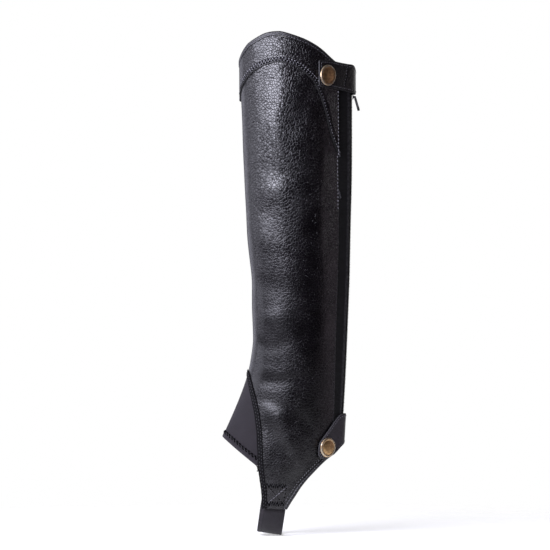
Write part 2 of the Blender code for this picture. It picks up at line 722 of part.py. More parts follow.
def main():
    clear_scene()
    looks = {
        "leather": material("leather", (0.020, 0.020, 0.024), 0.42),
        "yoke": material("yoke leather", (0.022, 0.022, 0.026), 0.42),
        "binding": material("binding", (0.018, 0.018, 0.020), 0.50),
        "lining": material("lining", (0.045, 0.045, 0.050), 0.90),
        "stretch": material("stretch cloth", (0.035, 0.033, 0.038), 0.85),
        "hem": material("stretch hem", (0.025, 0.024, 0.028), 0.85),
        "tape": material("zip tape", (0.018, 0.018, 0.020), 0.85),
        "chain": material("zip chain", (0.030, 0.030, 0.032), 0.50),
        "brass": material("aged brass", (0.32, 0.22, 0.12), 0.35, 1.0),
        "metal": material("blackened metal", (0.030, 0.030, 0.032), 0.38, 0.9),
        "webbing": material("elastic webbing", (0.020, 0.020, 0.022), 0.90),
    }
    build_leather(looks)
    build_instep(looks)
    build_zip(looks)
    build_slider(looks)
    build_tabs(looks)
    build_strap(looks)


if __name__ == "__main__":
    main()
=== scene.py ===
"""Half chap with its looks: creased pebbled leather, stretch cloth, zip, snap tabs, stitching and foot strap.

+X is the outer side of a left leg, -Y the shin, +Z up. Lines on the chap are in millimetres, as (y, z) in
the side view or as (station, z) on the cloth, and turn into metres where a mesh is made. Stations go round
the leg: 0 is the shin, 1 the outer leather's back edge, 2 and 3 the zip's sides, and -1 is 3 again from the
inner side.
"""

import functools
import math

import bmesh
import bpy
import numpy as np
from bpy.props import FloatProperty, FloatVectorProperty, PointerProperty
from mathutils import Matrix, Vector


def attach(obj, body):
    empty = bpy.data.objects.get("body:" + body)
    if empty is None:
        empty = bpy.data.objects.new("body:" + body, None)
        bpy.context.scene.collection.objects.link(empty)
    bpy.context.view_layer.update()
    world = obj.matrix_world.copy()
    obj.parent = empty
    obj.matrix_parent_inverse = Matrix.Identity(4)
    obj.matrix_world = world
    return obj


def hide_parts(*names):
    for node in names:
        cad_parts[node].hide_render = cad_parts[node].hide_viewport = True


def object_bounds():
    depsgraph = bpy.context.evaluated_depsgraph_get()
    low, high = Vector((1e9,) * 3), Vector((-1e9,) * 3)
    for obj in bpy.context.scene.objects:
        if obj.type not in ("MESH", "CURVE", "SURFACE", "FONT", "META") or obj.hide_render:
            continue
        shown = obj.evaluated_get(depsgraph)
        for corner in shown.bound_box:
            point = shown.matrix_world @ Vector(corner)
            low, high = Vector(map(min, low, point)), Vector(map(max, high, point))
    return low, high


bl_info = {
    "name": "Half chap",
    "version": (1, 0, 0),
    "blender": (4, 5, 0),
    "location": "3D View > Sidebar > Half chap",
    "description": "Builds a leather half chap with its stitching, zip, snap tabs and foot strap",
    "category": "Object",
}

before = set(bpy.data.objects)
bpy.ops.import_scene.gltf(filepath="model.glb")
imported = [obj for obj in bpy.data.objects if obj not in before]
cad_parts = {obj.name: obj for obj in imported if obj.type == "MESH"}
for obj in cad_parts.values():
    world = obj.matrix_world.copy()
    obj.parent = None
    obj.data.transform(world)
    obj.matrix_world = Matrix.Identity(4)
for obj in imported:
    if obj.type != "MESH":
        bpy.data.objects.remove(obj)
CAD_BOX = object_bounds()

# Millimetres in metres, and the space between pieces that are sewn side by side
MM = 0.001
GAP = 0.3

# Thicknesses of the materials
LEATHER = 1.4
OVERLAY = 1.2
LINING = 1.0
STRETCH = 1.2
TAPE = 0.8
WEBBING = 1.6
TAB_THICKNESS = 1.5

# The leg's outline by height: (height, where the side view starts, where it ends, half its width, how pointed
# the instep is, and how far back the outer leather reaches)
RINGS = (
    (165, -55.6, 55.6, 46.5, 0.00, 42.0),
    (110, -55.2, 56.0, 49.5, 0.00, 42.0),
    (68, -54.1, 56.0, 50.0, 0.00, 42.2),
    (10, -51.5, 55.8, 48.5, 0.00, 42.8),
    (-40, -49.1, 54.6, 46.5, 0.00, 43.2),
    (-88, -44.9, 53.6, 44.0, 0.00, 42.2),
    (-130, -43.6, 52.0, 42.0, 0.05, 40.8),
    (-165, -44.6, 50.6, 40.5, 0.20, 39.8),
    (-190, -50.0, 49.4, 39.5, 0.50, 39.2),
    (-215, -59.6, 48.0, 39.0, 0.80, 38.6),
    (-246, -73.0, 46.2, 38.5, 1.00, 38.0),
    (-290, -86.0, 44.0, 36.5, 1.00, 37.4),
    (-345, -92.0, 42.0, 32.0, 1.00, 37.0),
)

# Controls of that outline as shares of its half length and half width: (along and across at the calf, along
# and across where the instep is pointed)
OUTLINE = (
    (-1.00, 0.00, -1.06, 0.00),
    (-0.92, 0.72, -0.86, 0.40),
    (-0.42, 1.05, -0.44, 0.92),
    (0.15, 1.04, 0.15, 1.06),
    (0.52, 0.72, 0.52, 0.76),
    (0.86, 0.24, 0.86, 0.26),
    (1.06, -0.02, 1.06, -0.02),
    (0.86, -0.34, 0.86, -0.34),
    (0.52, -0.78, 0.52, -0.78),
    (0.12, -1.05, 0.15, -1.06),
    (-0.44, -1.04, -0.44, -0.92),
    (-0.92, -0.70, -0.86, -0.40),
)
OUTLINE_SAMPLES = 480
ZIP_OPENING = 11.0
CHAIN_WIDTH = 5.0

# The table of the leather's face that every piece is laid on: its heights, and its columns by station number
LOWEST, HIGHEST, ROW_STEP = -352.0, 174.0, 1.0
HEIGHTS = np.arange(LOWEST, HIGHEST + 0.5, ROW_STEP)
STATION_NUMBERS = np.array((-1, 0, 1, 2, 3, 4))
COLUMNS = 400
NUMBERS = np.linspace(-1, 3, 4 * COLUMNS, endpoint=False)

# Lines on the chap as (y, z) in the side view, from the shin towards the back
TOP_OUTER = (
    (-56.6, 127), (-55.2, 131), (-53, 137), (-50, 142.5), (-46, 147.5), (-38, 153), (-30, 157),
    (-21, 158.6), (-12, 158), (6, 152), (17.7, 146), (26, 140), (32.4, 134), (38, 129), (42, 126),
)
TOP_INNER = (
    (-56.6, 127), (-52.3, 127.3), (-49, 126.7), (-44.7, 125.2), (-38.5, 123), (-33, 121), (-27.4, 119.6),
    (-16, 118), (0, 117.2), (20, 118.2), (36, 121), (48, 124),
)
YOKE_EDGE = (
    (-56, 88), (-54.8, 95.4), (-53.4, 102.5), (-47.6, 112.3), (-41, 119), (-34, 123.2), (-27.5, 125.8),
    (-20.8, 127.2), (-14, 127.7), (-7.4, 126.4), (1.5, 122.6), (9, 116.5), (16, 110), (20, 103),
    (23.5, 95), (26.5, 86), (29.4, 76), (33, 60), (37.6, 46), (41.4, 37),
)
GUSSET_SEAM = (
    (-48.4, -183), (-47.2, -190), (-45.8, -197), (-43.8, -206), (-41.6, -216), (-39.8, -228),
    (-38.4, -242), (-37.6, -258), (-37.0, -272),
)
FLAP_FRONT = ((-37.0, -272), (-36.2, -281), (-35.0, -290), (-33.8, -299), (-33.2, -308), (-32.8, -317))
FLAP_BACK = (-13.6, -317.7)
HEM = (
    (-9.6, -318), (-5.2, -310.5), (-0.9, -304), (2.9, -298), (7.4, -292), (12.6, -286), (18.4, -280),
    (24.4, -274), (30.7, -268.5), (37, -264),
)
HEM_AT_ZIP = -257.5
TOP_AT_ZIP = 124.6
INSTEP_HEM = (
    (-73.2, -247), (-71.6, -248.6), (-67.5, -252), (-60.5, -258), (-53.0, -264), (-45.6, -269.8),
    (-38.6, -275.4),
)
TOP_BINDING_WIDTH = 4.5
HEM_BINDING_WIDTH = 3.2
INSTEP_BAND_WIDTH = 6.0
YOKE_REACH = -0.03
TAPE_UNDER = 8.0

# The snap tabs: y, or the station past the leather's edge, with the heights of both edges
TOP_TAB = (
    (21.4, 128.6, 107.5), (22.2, 129.6, 104.6), (24.5, 130.0, 103.2), (32, 129.6, 102.2), (40, 127.6, 100.4),
)
TOP_TAB_BACK = (
    (1.5, 126.0, 98.6), (2.0, 124.6, 97.0), (2.5, 119.6, 95.6), (3.0, 116.8, 95.0), (3.16, 113.6, 94.6),
)
BOTTOM_TAB = (
    (21.4, -257.6, -263.4), (22.6, -252.2, -266.2), (25.2, -248.0, -268.0), (28.6, -243.4, -268.2),
    (34, -236.0, -265.0), (38, -230.4, -262.4),
)
BOTTOM_TAB_BACK = (
    (1.5, -225.4, -259.6), (2.0, -223.6, -256.2), (2.5, -223.4, -253.2), (3.0, -223.4, -252.0),
    (3.15, -223.4, -252.0),
)

# How far the tabs' faces are off the leather, from the free end to the seam
TOP_TAB_OUTS = (3.3, 3.3, 3.4, 3.7, 3.9, 3.9, 3.9, 3.9, 3.8, 1.8)
BOTTOM_TAB_OUTS = (2.8, 2.8, 2.8, 2.8, 2.8, 2.8, 2.8, 2.8, 2.8, 2.3, 1.8)

# The upper tab's crease, and the middles of both snaps
TOP_TAB_SEAM = ((48.6, 125.0), (47.4, 115.0), (45.4, 104.5))
TOP_SNAP_AT = (28.7, 114.6)
BOTTOM_SNAP_AT = (29.2, -256.4)

# The strap under the foot
STRAP_WIDTH = 24.8
STRAP_BOTTOM = -342.0
STRAP_TOP = -296.0
STRAP_LEAN = math.radians(8.5)
STRAP_CENTRE_Y = -23.2
STRAP_INSET = 4.2
STRAP_BEND = 15.0

# The zip's slider and pull
SLIDER_AT = 97.0
SLIDER_LENGTH = 13.0
SLIDER_WIDTH = 8.4
SLIDER_BASE = 0.5
SLIDER_TOP = 1.3
PIVOT_DROP = 4.3
PIVOT_OUT = 2.9
PIN_RADIUS = 0.5
EYE_RADIUS = 1.25
EYE_HOLE = 0.85
PULL_LENGTH = 14.0
PULL_WIDTH = 4.2
PULL_THICKNESS = 1.7
PULL_HANG = math.radians(16)

# Soft folds and hollows: (side, height, half width, points as (y, z) in the side view)
FOLDS = (
    (1, 0.8, 14, ((-34, 84), (-26, 72), (-20, 54), (-18, 34))),
    (1, -1.3, 10, ((20, 112), (10, 92), (0, 72), (-7, 52), (-6, 34))),
    (1, 0.7, 12, ((-26, 10), (-22, -2), (-20, -14))),
    (1, -0.7, 12, ((-44, 22), (-28, 21), (-12, 18), (2, 12))),
    (1, 0.6, 11, ((-40, -48), (-24, -50), (-10, -46))),
    (1, -0.7, 12, ((-46, -22), (-30, -20), (-8, -22))),
    (1, -0.6, 11, ((-46, -92), (-26, -96), (2, -94))),
    (1, 0.6, 8, ((-34, -124), (-24, -127), (-12, -121))),
    (1, -0.7, 8, ((-44, -153), (-24, -156), (2, -148))),
    (1, 0.36, 5, ((-40, -178), (-28, -179), (-14, -181), (-2, -180))),
    (1, -0.42, 4.5, ((-42, -190), (-24, -190), (-4, -189), (10, -186))),
    (1, 0.3, 4.5, ((-38, -202), (-26, -201), (-12, -203))),
    (1, -0.34, 4.5, ((-40, -210), (-26, -210), (-12, -215), (4, -214))),
    (1, 0.8, 6.0, ((-38, -212), (-28, -219), (-15, -236), (-2, -257), (4, -276))),
    (1, -1.1, 9.0, ((-36, -226), (-27, -240), (-21, -258), (-23, -278))),
    (1, -0.7, 8.0, ((-12, -217), (6, -229), (16, -246))),
    (1, 0.5, 9.0, ((30, 56), (25, 10), (24, -50), (27, -110))),
    (1, 0.5, 8.0, ((8, -262), (-4, -278), (-10, -290))),
    (-1, 0.5, 18, ((-48, 88), (-30, 84), (-8, 80))),
    (-1, -0.7, 14, ((-50, 10), (-28, 6), (0, 12))),
    (-1, 0.6, 14, ((-48, -44), (-26, -47), (0, -50))),
    (-1, -0.7, 13, ((-46, -88), (-20, -92), (10, -88))),
    (-1, 0.7, 11, ((-45, -120), (-24, -124), (2, -126))),
    (-1, -0.8, 10, ((-44, -150), (-22, -154), (6, -158))),
    (-1, 1.0, 6.5, ((-43, -176), (-26, -178), (-6, -174))),
    (-1, -1.0, 6.0, ((-42, -188), (-20, -191), (2, -186))),
    (-1, 0.9, 6.0, ((-40, -201), (-22, -203), (-8, -199), (6, -200))),
    (-1, -0.7, 5.0, ((-40, -211), (-24, -214), (-6, -210))),
    (-1, 1.0, 7.0, ((-38, -218), (-24, -228), (-12, -246), (-6, -268))),
    (-1, -1.0, 9.0, ((-34, -236), (-24, -252), (-20, -274))),
    (-1, 0.5, 10, ((30, 40), (26, -20), (26, -90))),
)

# The share of a fold's length that each of its ends takes up, and the share of its height that is left there
FOLD_END = 0.35
FOLD_LEFT = 0.35

# Where the folds fade out: by station, towards both back edges, and by height, towards the top
FOLD_STATIONS = (-0.95, -0.81, 0.77, 0.93)
FOLD_TOP = (96, 118)

# How far to both sides of a point the direction round the leg is measured
BESIDE = 1.5

# Faint waves all over the leather: millimetres round the leg and up it for one radian, a shift and a height
RIPPLES = (
    (9.3, 14.1, 0.4, 0.10), (-13.7, 8.2, 1.9, 0.09), (6.1, -17.3, 3.3, 0.05), (23.0, 11.5, 5.1, 0.12),
    (-7.7, -10.9, 2.6, 0.05), (4.9, 31.0, 0.9, 0.03),
)


def spline(knots, values, at):
    """Values at these places of the natural cubic spline through the knots."""
    x, y, q = (np.asarray(v, float) for v in (knots, values, at))
    h = np.diff(x)
    slopes = np.diff(y) / h
    system, bends = np.eye(len(x)), np.zeros(len(x))
    for i in range(1, len(x) - 1):
        system[i, i - 1 : i + 2] = h[i - 1], 2 * (h[i - 1] + h[i]), h[i]
        bends[i] = 6 * (slopes[i] - slopes[i - 1])
    m = np.linalg.solve(system, bends)
    i = np.clip(np.searchsorted(x, q) - 1, 0, len(h) - 1)
    a, b = x[i + 1] - q, q - x[i]
    return (
        (m[i] * a**3 + m[i + 1] * b**3) / (6 * h[i])
        + (y[i] / h[i] - m[i] * h[i] / 6) * a
        + (y[i + 1] / h[i] - m[i + 1] * h[i] / 6) * b
    )


def closed_spline_weights(samples, controls):
    """Weights of a closed cubic B-spline's controls at evenly spaced samples."""
    weights = np.zeros((samples, controls))
    for k in range(samples):
        i, f = divmod(k * controls / samples, 1)
        parts = ((1 - f) ** 3, 3 * f**3 - 6 * f**2 + 4, -3 * f**3 + 3 * f**2 + 3 * f + 1, f**3)
        for j, part in enumerate(parts):
            weights[k, (int(i) - 1 + j) % controls] += part / 6
    return weights


def lengths_along(points):
    """How far along a line each of its points is."""
    return np.append(0, np.cumsum(np.linalg.norm(np.diff(points, axis=0), axis=1)))


def line_at(line, places, at):
    """A line's points at other places, where its own points are at these ones."""
    return np.column_stack([np.interp(at, places, line[:, c]) for c in (0, 1)])


def softened(share):
    """A share from 0 to 1 that starts and ends gently."""
    return share * share * (3 - 2 * share)


@functools.cache
def rings():
    """For each height the outline's points, the girth up to each, and the girth at each station."""
    knots = np.array(RINGS[::-1], float)
    measures = [spline(knots[:, 0], column, HEIGHTS) for column in knots[:, 1:].T]
    weights = closed_spline_weights(OUTLINE_SAMPLES, len(OUTLINE))
    controls, half = np.array(OUTLINE), OUTLINE_SAMPLES // 2
    found = []
    for front, back, half_width, bow, edge in zip(*measures):
        shape = weights @ ((1 - bow) * controls[:, :2] + bow * controls[:, 2:])
        along = np.interp(shape[:, 0], (shape[:, 0].min(), shape[:, 0].max()), (-1, 1))
        across = shape[:, 1] / np.abs(shape[:, 1]).max()
        y = (front + back) / 2 + along * (back - front) / 2
        x = across * half_width
        points = np.column_stack((np.append(x, x[0]), np.append(y, y[0])))
        girths = lengths_along(points)
        widest = int(np.argmax(x[:half]))
        edge_girth = np.interp(edge, y[widest:half], girths[widest:half])
        whole, middle = girths[-1], girths[half]
        zip_sides = middle - ZIP_OPENING / 2, middle + ZIP_OPENING / 2
        found.append((points, girths, (zip_sides[1] - whole, 0.0, edge_girth, *zip_sides, whole)))
    return found


def ring_at(z):
    """The outline that is nearest to a height."""
    return rings()[int(np.clip(round((z - LOWEST) / ROW_STEP), 0, len(HEIGHTS) - 1))]


@functools.cache
def station_table():
    return np.array([stations for _, _, stations in rings()])


def row_at(heights):
    """The table's row under each height, and the share of the way from there to the next row."""
    row = np.clip((np.asarray(heights, float) - LOWEST) / ROW_STEP, 0, len(HEIGHTS) - 1.001)
    return row.astype(int), (row - row.astype(int))[..., None]


def heights_of(table, heights):
    """Rows of a table by height."""
    low, share = row_at(heights)
    return table[low] * (1 - share) + table[low + 1] * share


def girth_at(stations, heights):
    """How far round the leg each station is, in millimetres from the shin."""
    stations, heights = np.broadcast_arrays(np.asarray(stations, float), np.asarray(heights, float))
    table = heights_of(station_table(), heights)
    place = np.clip(stations + 1, 0, 4.9999)
    k = place.astype(int)
    low, high = (np.take_along_axis(table, column[..., None], -1)[..., 0] for column in (k, k + 1))
    return low + (high - low) * (place - k)


def station_at(girths, heights):
    """The station that is this far round the leg."""
    girths, heights = np.broadcast_arrays(np.asarray(girths, float), np.asarray(heights, float))
    table = heights_of(station_table(), heights)
    found = np.full(girths.shape, -1.0)
    for k in range(5):
        low, high = table[..., k], table[..., k + 1]
        found = np.where(girths >= low, k - 1 + (girths - low) / (high - low), found)
    return np.clip(found, -1, 4)


def station_of(y, z, side):
    """The station of a point that the side view shows at y, on the outer side (1) or the inner one (-1)."""
    points, girths, _ = ring_at(z)
    half = OUTLINE_SAMPLES // 2
    order = slice(0, half + 1) if side > 0 else slice(OUTLINE_SAMPLES, half - 1, -1)
    ys = np.maximum.accumulate(points[order, 1])
    girth = float(np.interp(y, ys, girths[order]))
    return float(station_at(girth if side > 0 else girth - girths[-1], z))


def unit(vectors):
    """The vectors at a length of 1."""
    return vectors / np.linalg.norm(vectors, axis=-1, keepdims=True)


def nearest_on(line, x, y):
    """How far points are from a line, and how far along the line is nearest to each."""
    near, place = np.full(x.shape, np.inf), np.zeros(x.shape)
    for a, b, done in zip(line, line[1:], lengths_along(line)):
        step = b - a
        share = np.clip(((x - a[0]) * step[0] + (y - a[1]) * step[1]) / (step @ step), 0, 1)
        away = np.hypot(x - a[0] - share * step[0], y - a[1] - share * step[1])
        closer = away < near
        near = np.where(closer, away, near)
        place = np.where(closer, done + share * np.linalg.norm(step), place)
    return near, place


def fold_heights(girths, heights, depth):
    """How far the leather's folds stand out over the table of the cloth."""
    total = np.zeros(girths.shape)
    for side, height, width, points in FOLDS:
        line = np.array([(girth_at(station_of(y, z, side), z), z) for y, z in smooth_path(points, 4)])
        near, place = nearest_on(line, girths, heights)
        whole = lengths_along(line)[-1]
        ends = np.clip(np.minimum(place, whole - place) / (FOLD_END * whole), 0, 1)
        taper = FOLD_LEFT + (1 - FOLD_LEFT) * softened(ends)
        total += height * taper * np.exp(-((near / width) ** 2))
    for across, up, shift, height in RIPPLES:
        total += height * np.sin(girths / across + heights / up + shift)
    return total * depth


@functools.cache
def cloth_tables(depth):
    """The leather's creased face: points and outward normals at each height and station number."""
    points, round_leg, girths = [], [], []
    for (outline, lengths, stations), z in zip(rings(), HEIGHTS):
        at = np.interp(NUMBERS, STATION_NUMBERS, stations)
        here, behind, ahead = (
            line_at(outline, lengths, (at + step) % lengths[-1]) for step in (0, -BESIDE, BESIDE)
        )
        girths.append(at)
        points.append(np.column_stack((here, np.full(len(at), z))))
        round_leg.append(np.column_stack((ahead - behind, np.zeros(len(at)))))
    points, girths, round_leg = np.array(points), np.array(girths), unit(np.array(round_leg))
    up = unit(np.gradient(points, axis=0))
    normals = unit(np.cross(round_leg, up))
    z = np.broadcast_to(HEIGHTS[:, None], girths.shape)
    to_sides, to_top = np.interp(NUMBERS, FOLD_STATIONS, (0, 1, 1, 0)), np.interp(z, FOLD_TOP, (1, 0))
    relief = fold_heights(girths, z, depth) * softened(to_sides) * softened(to_top)
    slope_round = np.gradient(relief, axis=1) / np.maximum(np.gradient(girths, axis=1), 1e-6)
    slope_up = np.gradient(relief, ROW_STEP, axis=0)
    creased = normals - round_leg * slope_round[..., None] - up * slope_up[..., None]
    return points + normals * relief[..., None], unit(creased)


def over_cloth(table, stations, heights):
    """Values of a table over the cloth."""
    column = (stations + 1) % 4 * COLUMNS
    c, across = column.astype(int) % (4 * COLUMNS), (column - column.astype(int))[..., None]
    r, up = row_at(heights)
    beyond = (c + 1) % (4 * COLUMNS)
    low, high = (table[row, c] * (1 - across) + table[row, beyond] * across for row in (r, r + 1))
    return low * (1 - up) + high * up


def sizes():
    return bpy.context.scene.half_chap_sizes


def colours():
    return bpy.context.scene.half_chap_colours


def on_cloth(stations, heights, outs=0.0):
    """Points in millimetres this far off the creased leather's face, and the outward normals there."""
    stations, heights, outs = np.broadcast_arrays(*(np.asarray(v, float) for v in (stations, heights, outs)))
    points, normals = cloth_tables(round(sizes().crease_depth, 3))
    outward = unit(over_cloth(normals, stations, heights))
    return over_cloth(points, stations, heights) + outward * outs[..., None], outward


def smooth_path(points, steps=6):
    """More points on a smooth curve through these ones."""
    p = np.array(points, float)
    p = np.vstack((2 * p[0] - p[1], p, 2 * p[-1] - p[-2]))
    f = (np.arange(steps) / steps)[:, None]
    found = [
        0.5 * (2 * b + (c - a) * f + (2 * a - 5 * b + 4 * c - d) * f**2 + (3 * b - a - 3 * c + d) * f**3)
        for a, b, c, d in zip(p, p[1:], p[2:], p[3:])
    ]
    return np.vstack((*found, p[-2:-1]))


def side_line(points, side):
    """(station, z) along a line that is given in the side view."""
    return np.array([(station_of(y, z, side), z) for y, z in smooth_path(points)])


def flat_line(line):
    """The line on the flattened cloth, as (girth, z)."""
    return np.column_stack((girth_at(line[:, 0], line[:, 1]), line[:, 1]))


def thinned(line, spacing):
    """The same line with its points evenly spaced over the cloth."""
    lengths = lengths_along(flat_line(line))
    at = np.linspace(0, lengths[-1], max(2, round(lengths[-1] / spacing)) + 1)
    return line_at(line, lengths, at)


def line_normals(flat, upright=()):
    """Unit normals on a line's right-hand side on the flattened cloth, vertical at any upright end."""
    tangents = unit(np.gradient(flat, axis=0))
    normals = np.column_stack((tangents[:, 1], -tangents[:, 0]))
    for end in upright:
        normals[end] = 0, 1 / normals[end][1]
    return normals


def moved(line, distance, upright=()):
    """The line moved to its right-hand side over the cloth: down, for a line that runs towards the back."""
    flat = flat_line(line)
    flat = flat + distance * line_normals(flat, upright)
    return np.column_stack((station_at(flat[:, 0], flat[:, 1]), flat[:, 1]))


def height_on(line):
    """A function that gives the line's height at a station."""
    ordered = line[np.argsort(line[:, 0])]
    return lambda t: np.interp(t, ordered[:, 0], ordered[:, 1])


def beside(station, z, distance):
    """The point moved this far round the leg."""
    return float(station_at(girth_at(station, z) + distance, z)), z


def up_to(line, last):
    """The line as far as a station on its own side of the shin."""
    side = math.copysign(1, last)
    kept = line[line[:, 0] * side < last * side - 0.004]
    return np.vstack((kept, (last, height_on(line)(last))))


def top_line():
    """The top edge, from the inner side of the zip round by the shin to the outer side of the zip."""
    inner = side_line(TOP_INNER, -1)[::-1]
    outer = side_line(TOP_OUTER, 1)
    fall = TOP_AT_ZIP - TOP_OUTER[-1][1]
    back = [(1 + k / 3, TOP_OUTER[-1][1] + fall * k / 3) for k in (1, 2, 3)]
    inner = inner[:-1]
    return np.vstack(((-1.0, TOP_AT_ZIP), inner[inner[:, 0] > -0.99], outer, back))


def hem_line(side, spacing):
    """The bound back hem of one side, from the strap to the zip."""
    last = 2.0 if side > 0 else -1.0
    sewn = side_line(HEM, side)
    t, z = sewn[-1]
    near_zip = [(t + (last - t) * k / 4, z + (HEM_AT_ZIP - z) * k / 4) for k in range(1, 5)]
    return thinned(np.vstack((sewn, near_zip)), spacing)


def opening_line(spacing):
    """The seam round the instep's stretch panel: up the outer side, over the shin and down the inner side."""
    seam = GUSSET_SEAM + FLAP_FRONT[1:]
    return thinned(np.vstack((side_line(seam, 1)[:0:-1], side_line(seam, -1))), spacing)


def leather_edges(spacing):
    """The leather's lower edge and its top edge, with one point of each for every column of the mesh."""
    edge = {}
    for side in (-1, 1):
        hem = moved(hem_line(side, spacing), -side * (HEM_BINDING_WIDTH + GAP), (-1,))
        bottom = thinned(side_line((FLAP_FRONT[-1], FLAP_BACK), side), spacing)[1:]
        edge[side] = np.vstack((bottom, up_to(hem, side)))
        edge[side][-1] = side, edge[side][-1][1] + GAP
    opening = moved(opening_line(spacing), GAP / 2)[::-1]
    lows = np.vstack((edge[-1][::-1], opening, edge[1]))
    middle = len(edge[-1]) + len(opening) // 2
    k = np.arange(len(lows))
    stations = np.where(k < middle, -(middle - k) / middle, (k - middle) / (len(lows) - 1 - middle))
    return lows, np.column_stack((stations, height_on(top_line())(stations)))


def body_edges(spacing):
    """The leather's lower and upper edges, and the top edge on over the stretch panel."""
    lows, tops = leather_edges(spacing)
    height = height_on(top_line())
    beyond = np.linspace(1, 2, max(5, round(10 / spacing)) + 1)[1:]
    top = np.vstack((tops, np.column_stack((beyond, height(beyond)))))
    highs = moved(top, TOP_BINDING_WIDTH + GAP)
    return lows, tops, top, highs


# Materials: a finish is a material with its own nodes, and the effects that several share are groups


def add_node(tree, kind, inputs=None, **settings):
    """A node with its settings, and its inputs linked or set."""
    node = tree.nodes.new(kind)
    for key, value in settings.items():
        setattr(node, key, value)
    for key, value in (inputs or {}).items():
        if isinstance(value, bpy.types.NodeSocket):
            tree.links.new(value, node.inputs[key])
        else:
            node.inputs[key].default_value = value
    return node


def math_node(tree, operation, *values, clamp=False):
    inputs = dict(enumerate(values))
    return add_node(tree, "ShaderNodeMath", inputs, operation=operation, use_clamp=clamp).outputs[0]


def product(tree, first, *others, clamp=False):
    """Values multiplied with each other."""
    for other in others:
        first = math_node(tree, "MULTIPLY", first, other, clamp=clamp)
    return first


def vector_node(tree, operation, *values, scale=None):
    """The outputs of a sum with vectors."""
    inputs = dict(enumerate(values)) | ({} if scale is None else {"Scale": scale})
    return add_node(tree, "ShaderNodeVectorMath", inputs, operation=operation).outputs


def noise(tree, vector, scale, detail, output="Fac"):
    inputs = {"Vector": vector, "Scale": scale, "Detail": detail}
    return add_node(tree, "ShaderNodeTexNoise", inputs).outputs[output]


def remapped(tree, value, low, high, to_low=0.0, to_high=1.0):
    """The value's range from low to high, softened at both ends, on to another range."""
    inputs = {0: value, 1: low, 2: high, 3: to_low, 4: to_high}
    return add_node(tree, "ShaderNodeMapRange", inputs, interpolation_type="SMOOTHSTEP").outputs[0]


def mixed(tree, share, first, second):
    """A colour between two."""
    return add_node(tree, "ShaderNodeMix", {0: share, 6: first, 7: second}, data_type="RGBA").outputs[2]


# The kinds of the groups' sockets, where they aren't numbers
SOCKETS = {
    "Vector": "NodeSocketVector", "Geometry": "NodeSocketGeometry", "Finish": "NodeSocketMaterial",
    "Tooth": "NodeSocketObject", "Seed": "NodeSocketInt",
}


def new_group(name, kind, inputs, outputs):
    """An empty node group, its inputs by name with their defaults and its outputs by name."""
    tree = bpy.data.node_groups.new(name, kind)
    for label, default in inputs.items():
        kind_of_socket = SOCKETS.get(label, "NodeSocketFloat")
        made = tree.interface.new_socket(label, in_out="INPUT", socket_type=kind_of_socket)
        if default is not None:
            made.default_value = default
    for label in outputs:
        tree.interface.new_socket(label, in_out="OUTPUT", socket_type=SOCKETS.get(label, "NodeSocketFloat"))
    return tree, tree.nodes.new("NodeGroupInput").outputs, tree.nodes.new("NodeGroupOutput").inputs


def effect(tree, group, inputs):
    """The outputs of a shared effect."""
    return add_node(tree, "ShaderNodeGroup", inputs, node_tree=group).outputs


# How the grain's cells are drawn out of shape: the scale of each push and its reach in metres
GRAIN_PUSHES = ((60.0, 0.0024), (420.0, 0.0011))
CREASE_WIDTH = 0.14
DOME = -0.10


@functools.cache
def grain_group():
    """Pebbled leather in millimetres of height: domed, leaning cells with creases between them."""
    tree, given, out = new_group(
        "Pebbled grain", "ShaderNodeTree",
        {"Vector": None, "Cells": 400.0, "Crease depth": 0.09, "Lean": 0.16, "Waves": 0.25},
        ["Height", "Creases", "Mottle"],
    )
    drawn_out = given["Vector"]
    for scale, reach in GRAIN_PUSHES:
        push = vector_node(tree, "MULTIPLY", noise(tree, drawn_out, scale, 1.0, "Color"), (reach,) * 3)[0]
        drawn_out = vector_node(tree, "ADD", drawn_out, push)[0]
    inputs = {"Vector": drawn_out, "Scale": given["Cells"]}
    edges = add_node(tree, "ShaderNodeTexVoronoi", inputs, feature="DISTANCE_TO_EDGE").outputs
    cell = add_node(tree, "ShaderNodeTexVoronoi", inputs, feature="F1").outputs
    pebble = remapped(tree, edges["Distance"], 0.0, CREASE_WIDTH)
    place = vector_node(tree, "SUBTRACT", drawn_out, cell["Position"])[0]
    leaning = vector_node(tree, "SUBTRACT", cell["Color"], (0.5, 0.5, 0.5))[0]
    lean = product(tree, vector_node(tree, "DOT_PRODUCT", place, leaning)["Value"], 1 / MM)
    dome = product(tree, math_node(tree, "POWER", cell["Distance"], 2.0), DOME)
    mottle = noise(tree, given["Vector"], 34.0, 3.0)
    height = math_node(tree, "MULTIPLY_ADD", pebble, given["Crease depth"], dome)
    height = math_node(tree, "MULTIPLY_ADD", lean, given["Lean"], height)
    height = product(tree, height, remapped(tree, mottle, 0.3, 0.7, 0.65, 1.15))
    height = math_node(tree, "MULTIPLY_ADD", noise(tree, drawn_out, 170.0, 2.0), given["Waves"], height)
    tree.links.new(height, out["Height"])
    tree.links.new(math_node(tree, "SUBTRACT", 1.0, pebble, clamp=True), out["Creases"])
    tree.links.new(mottle, out["Mottle"])
    return tree


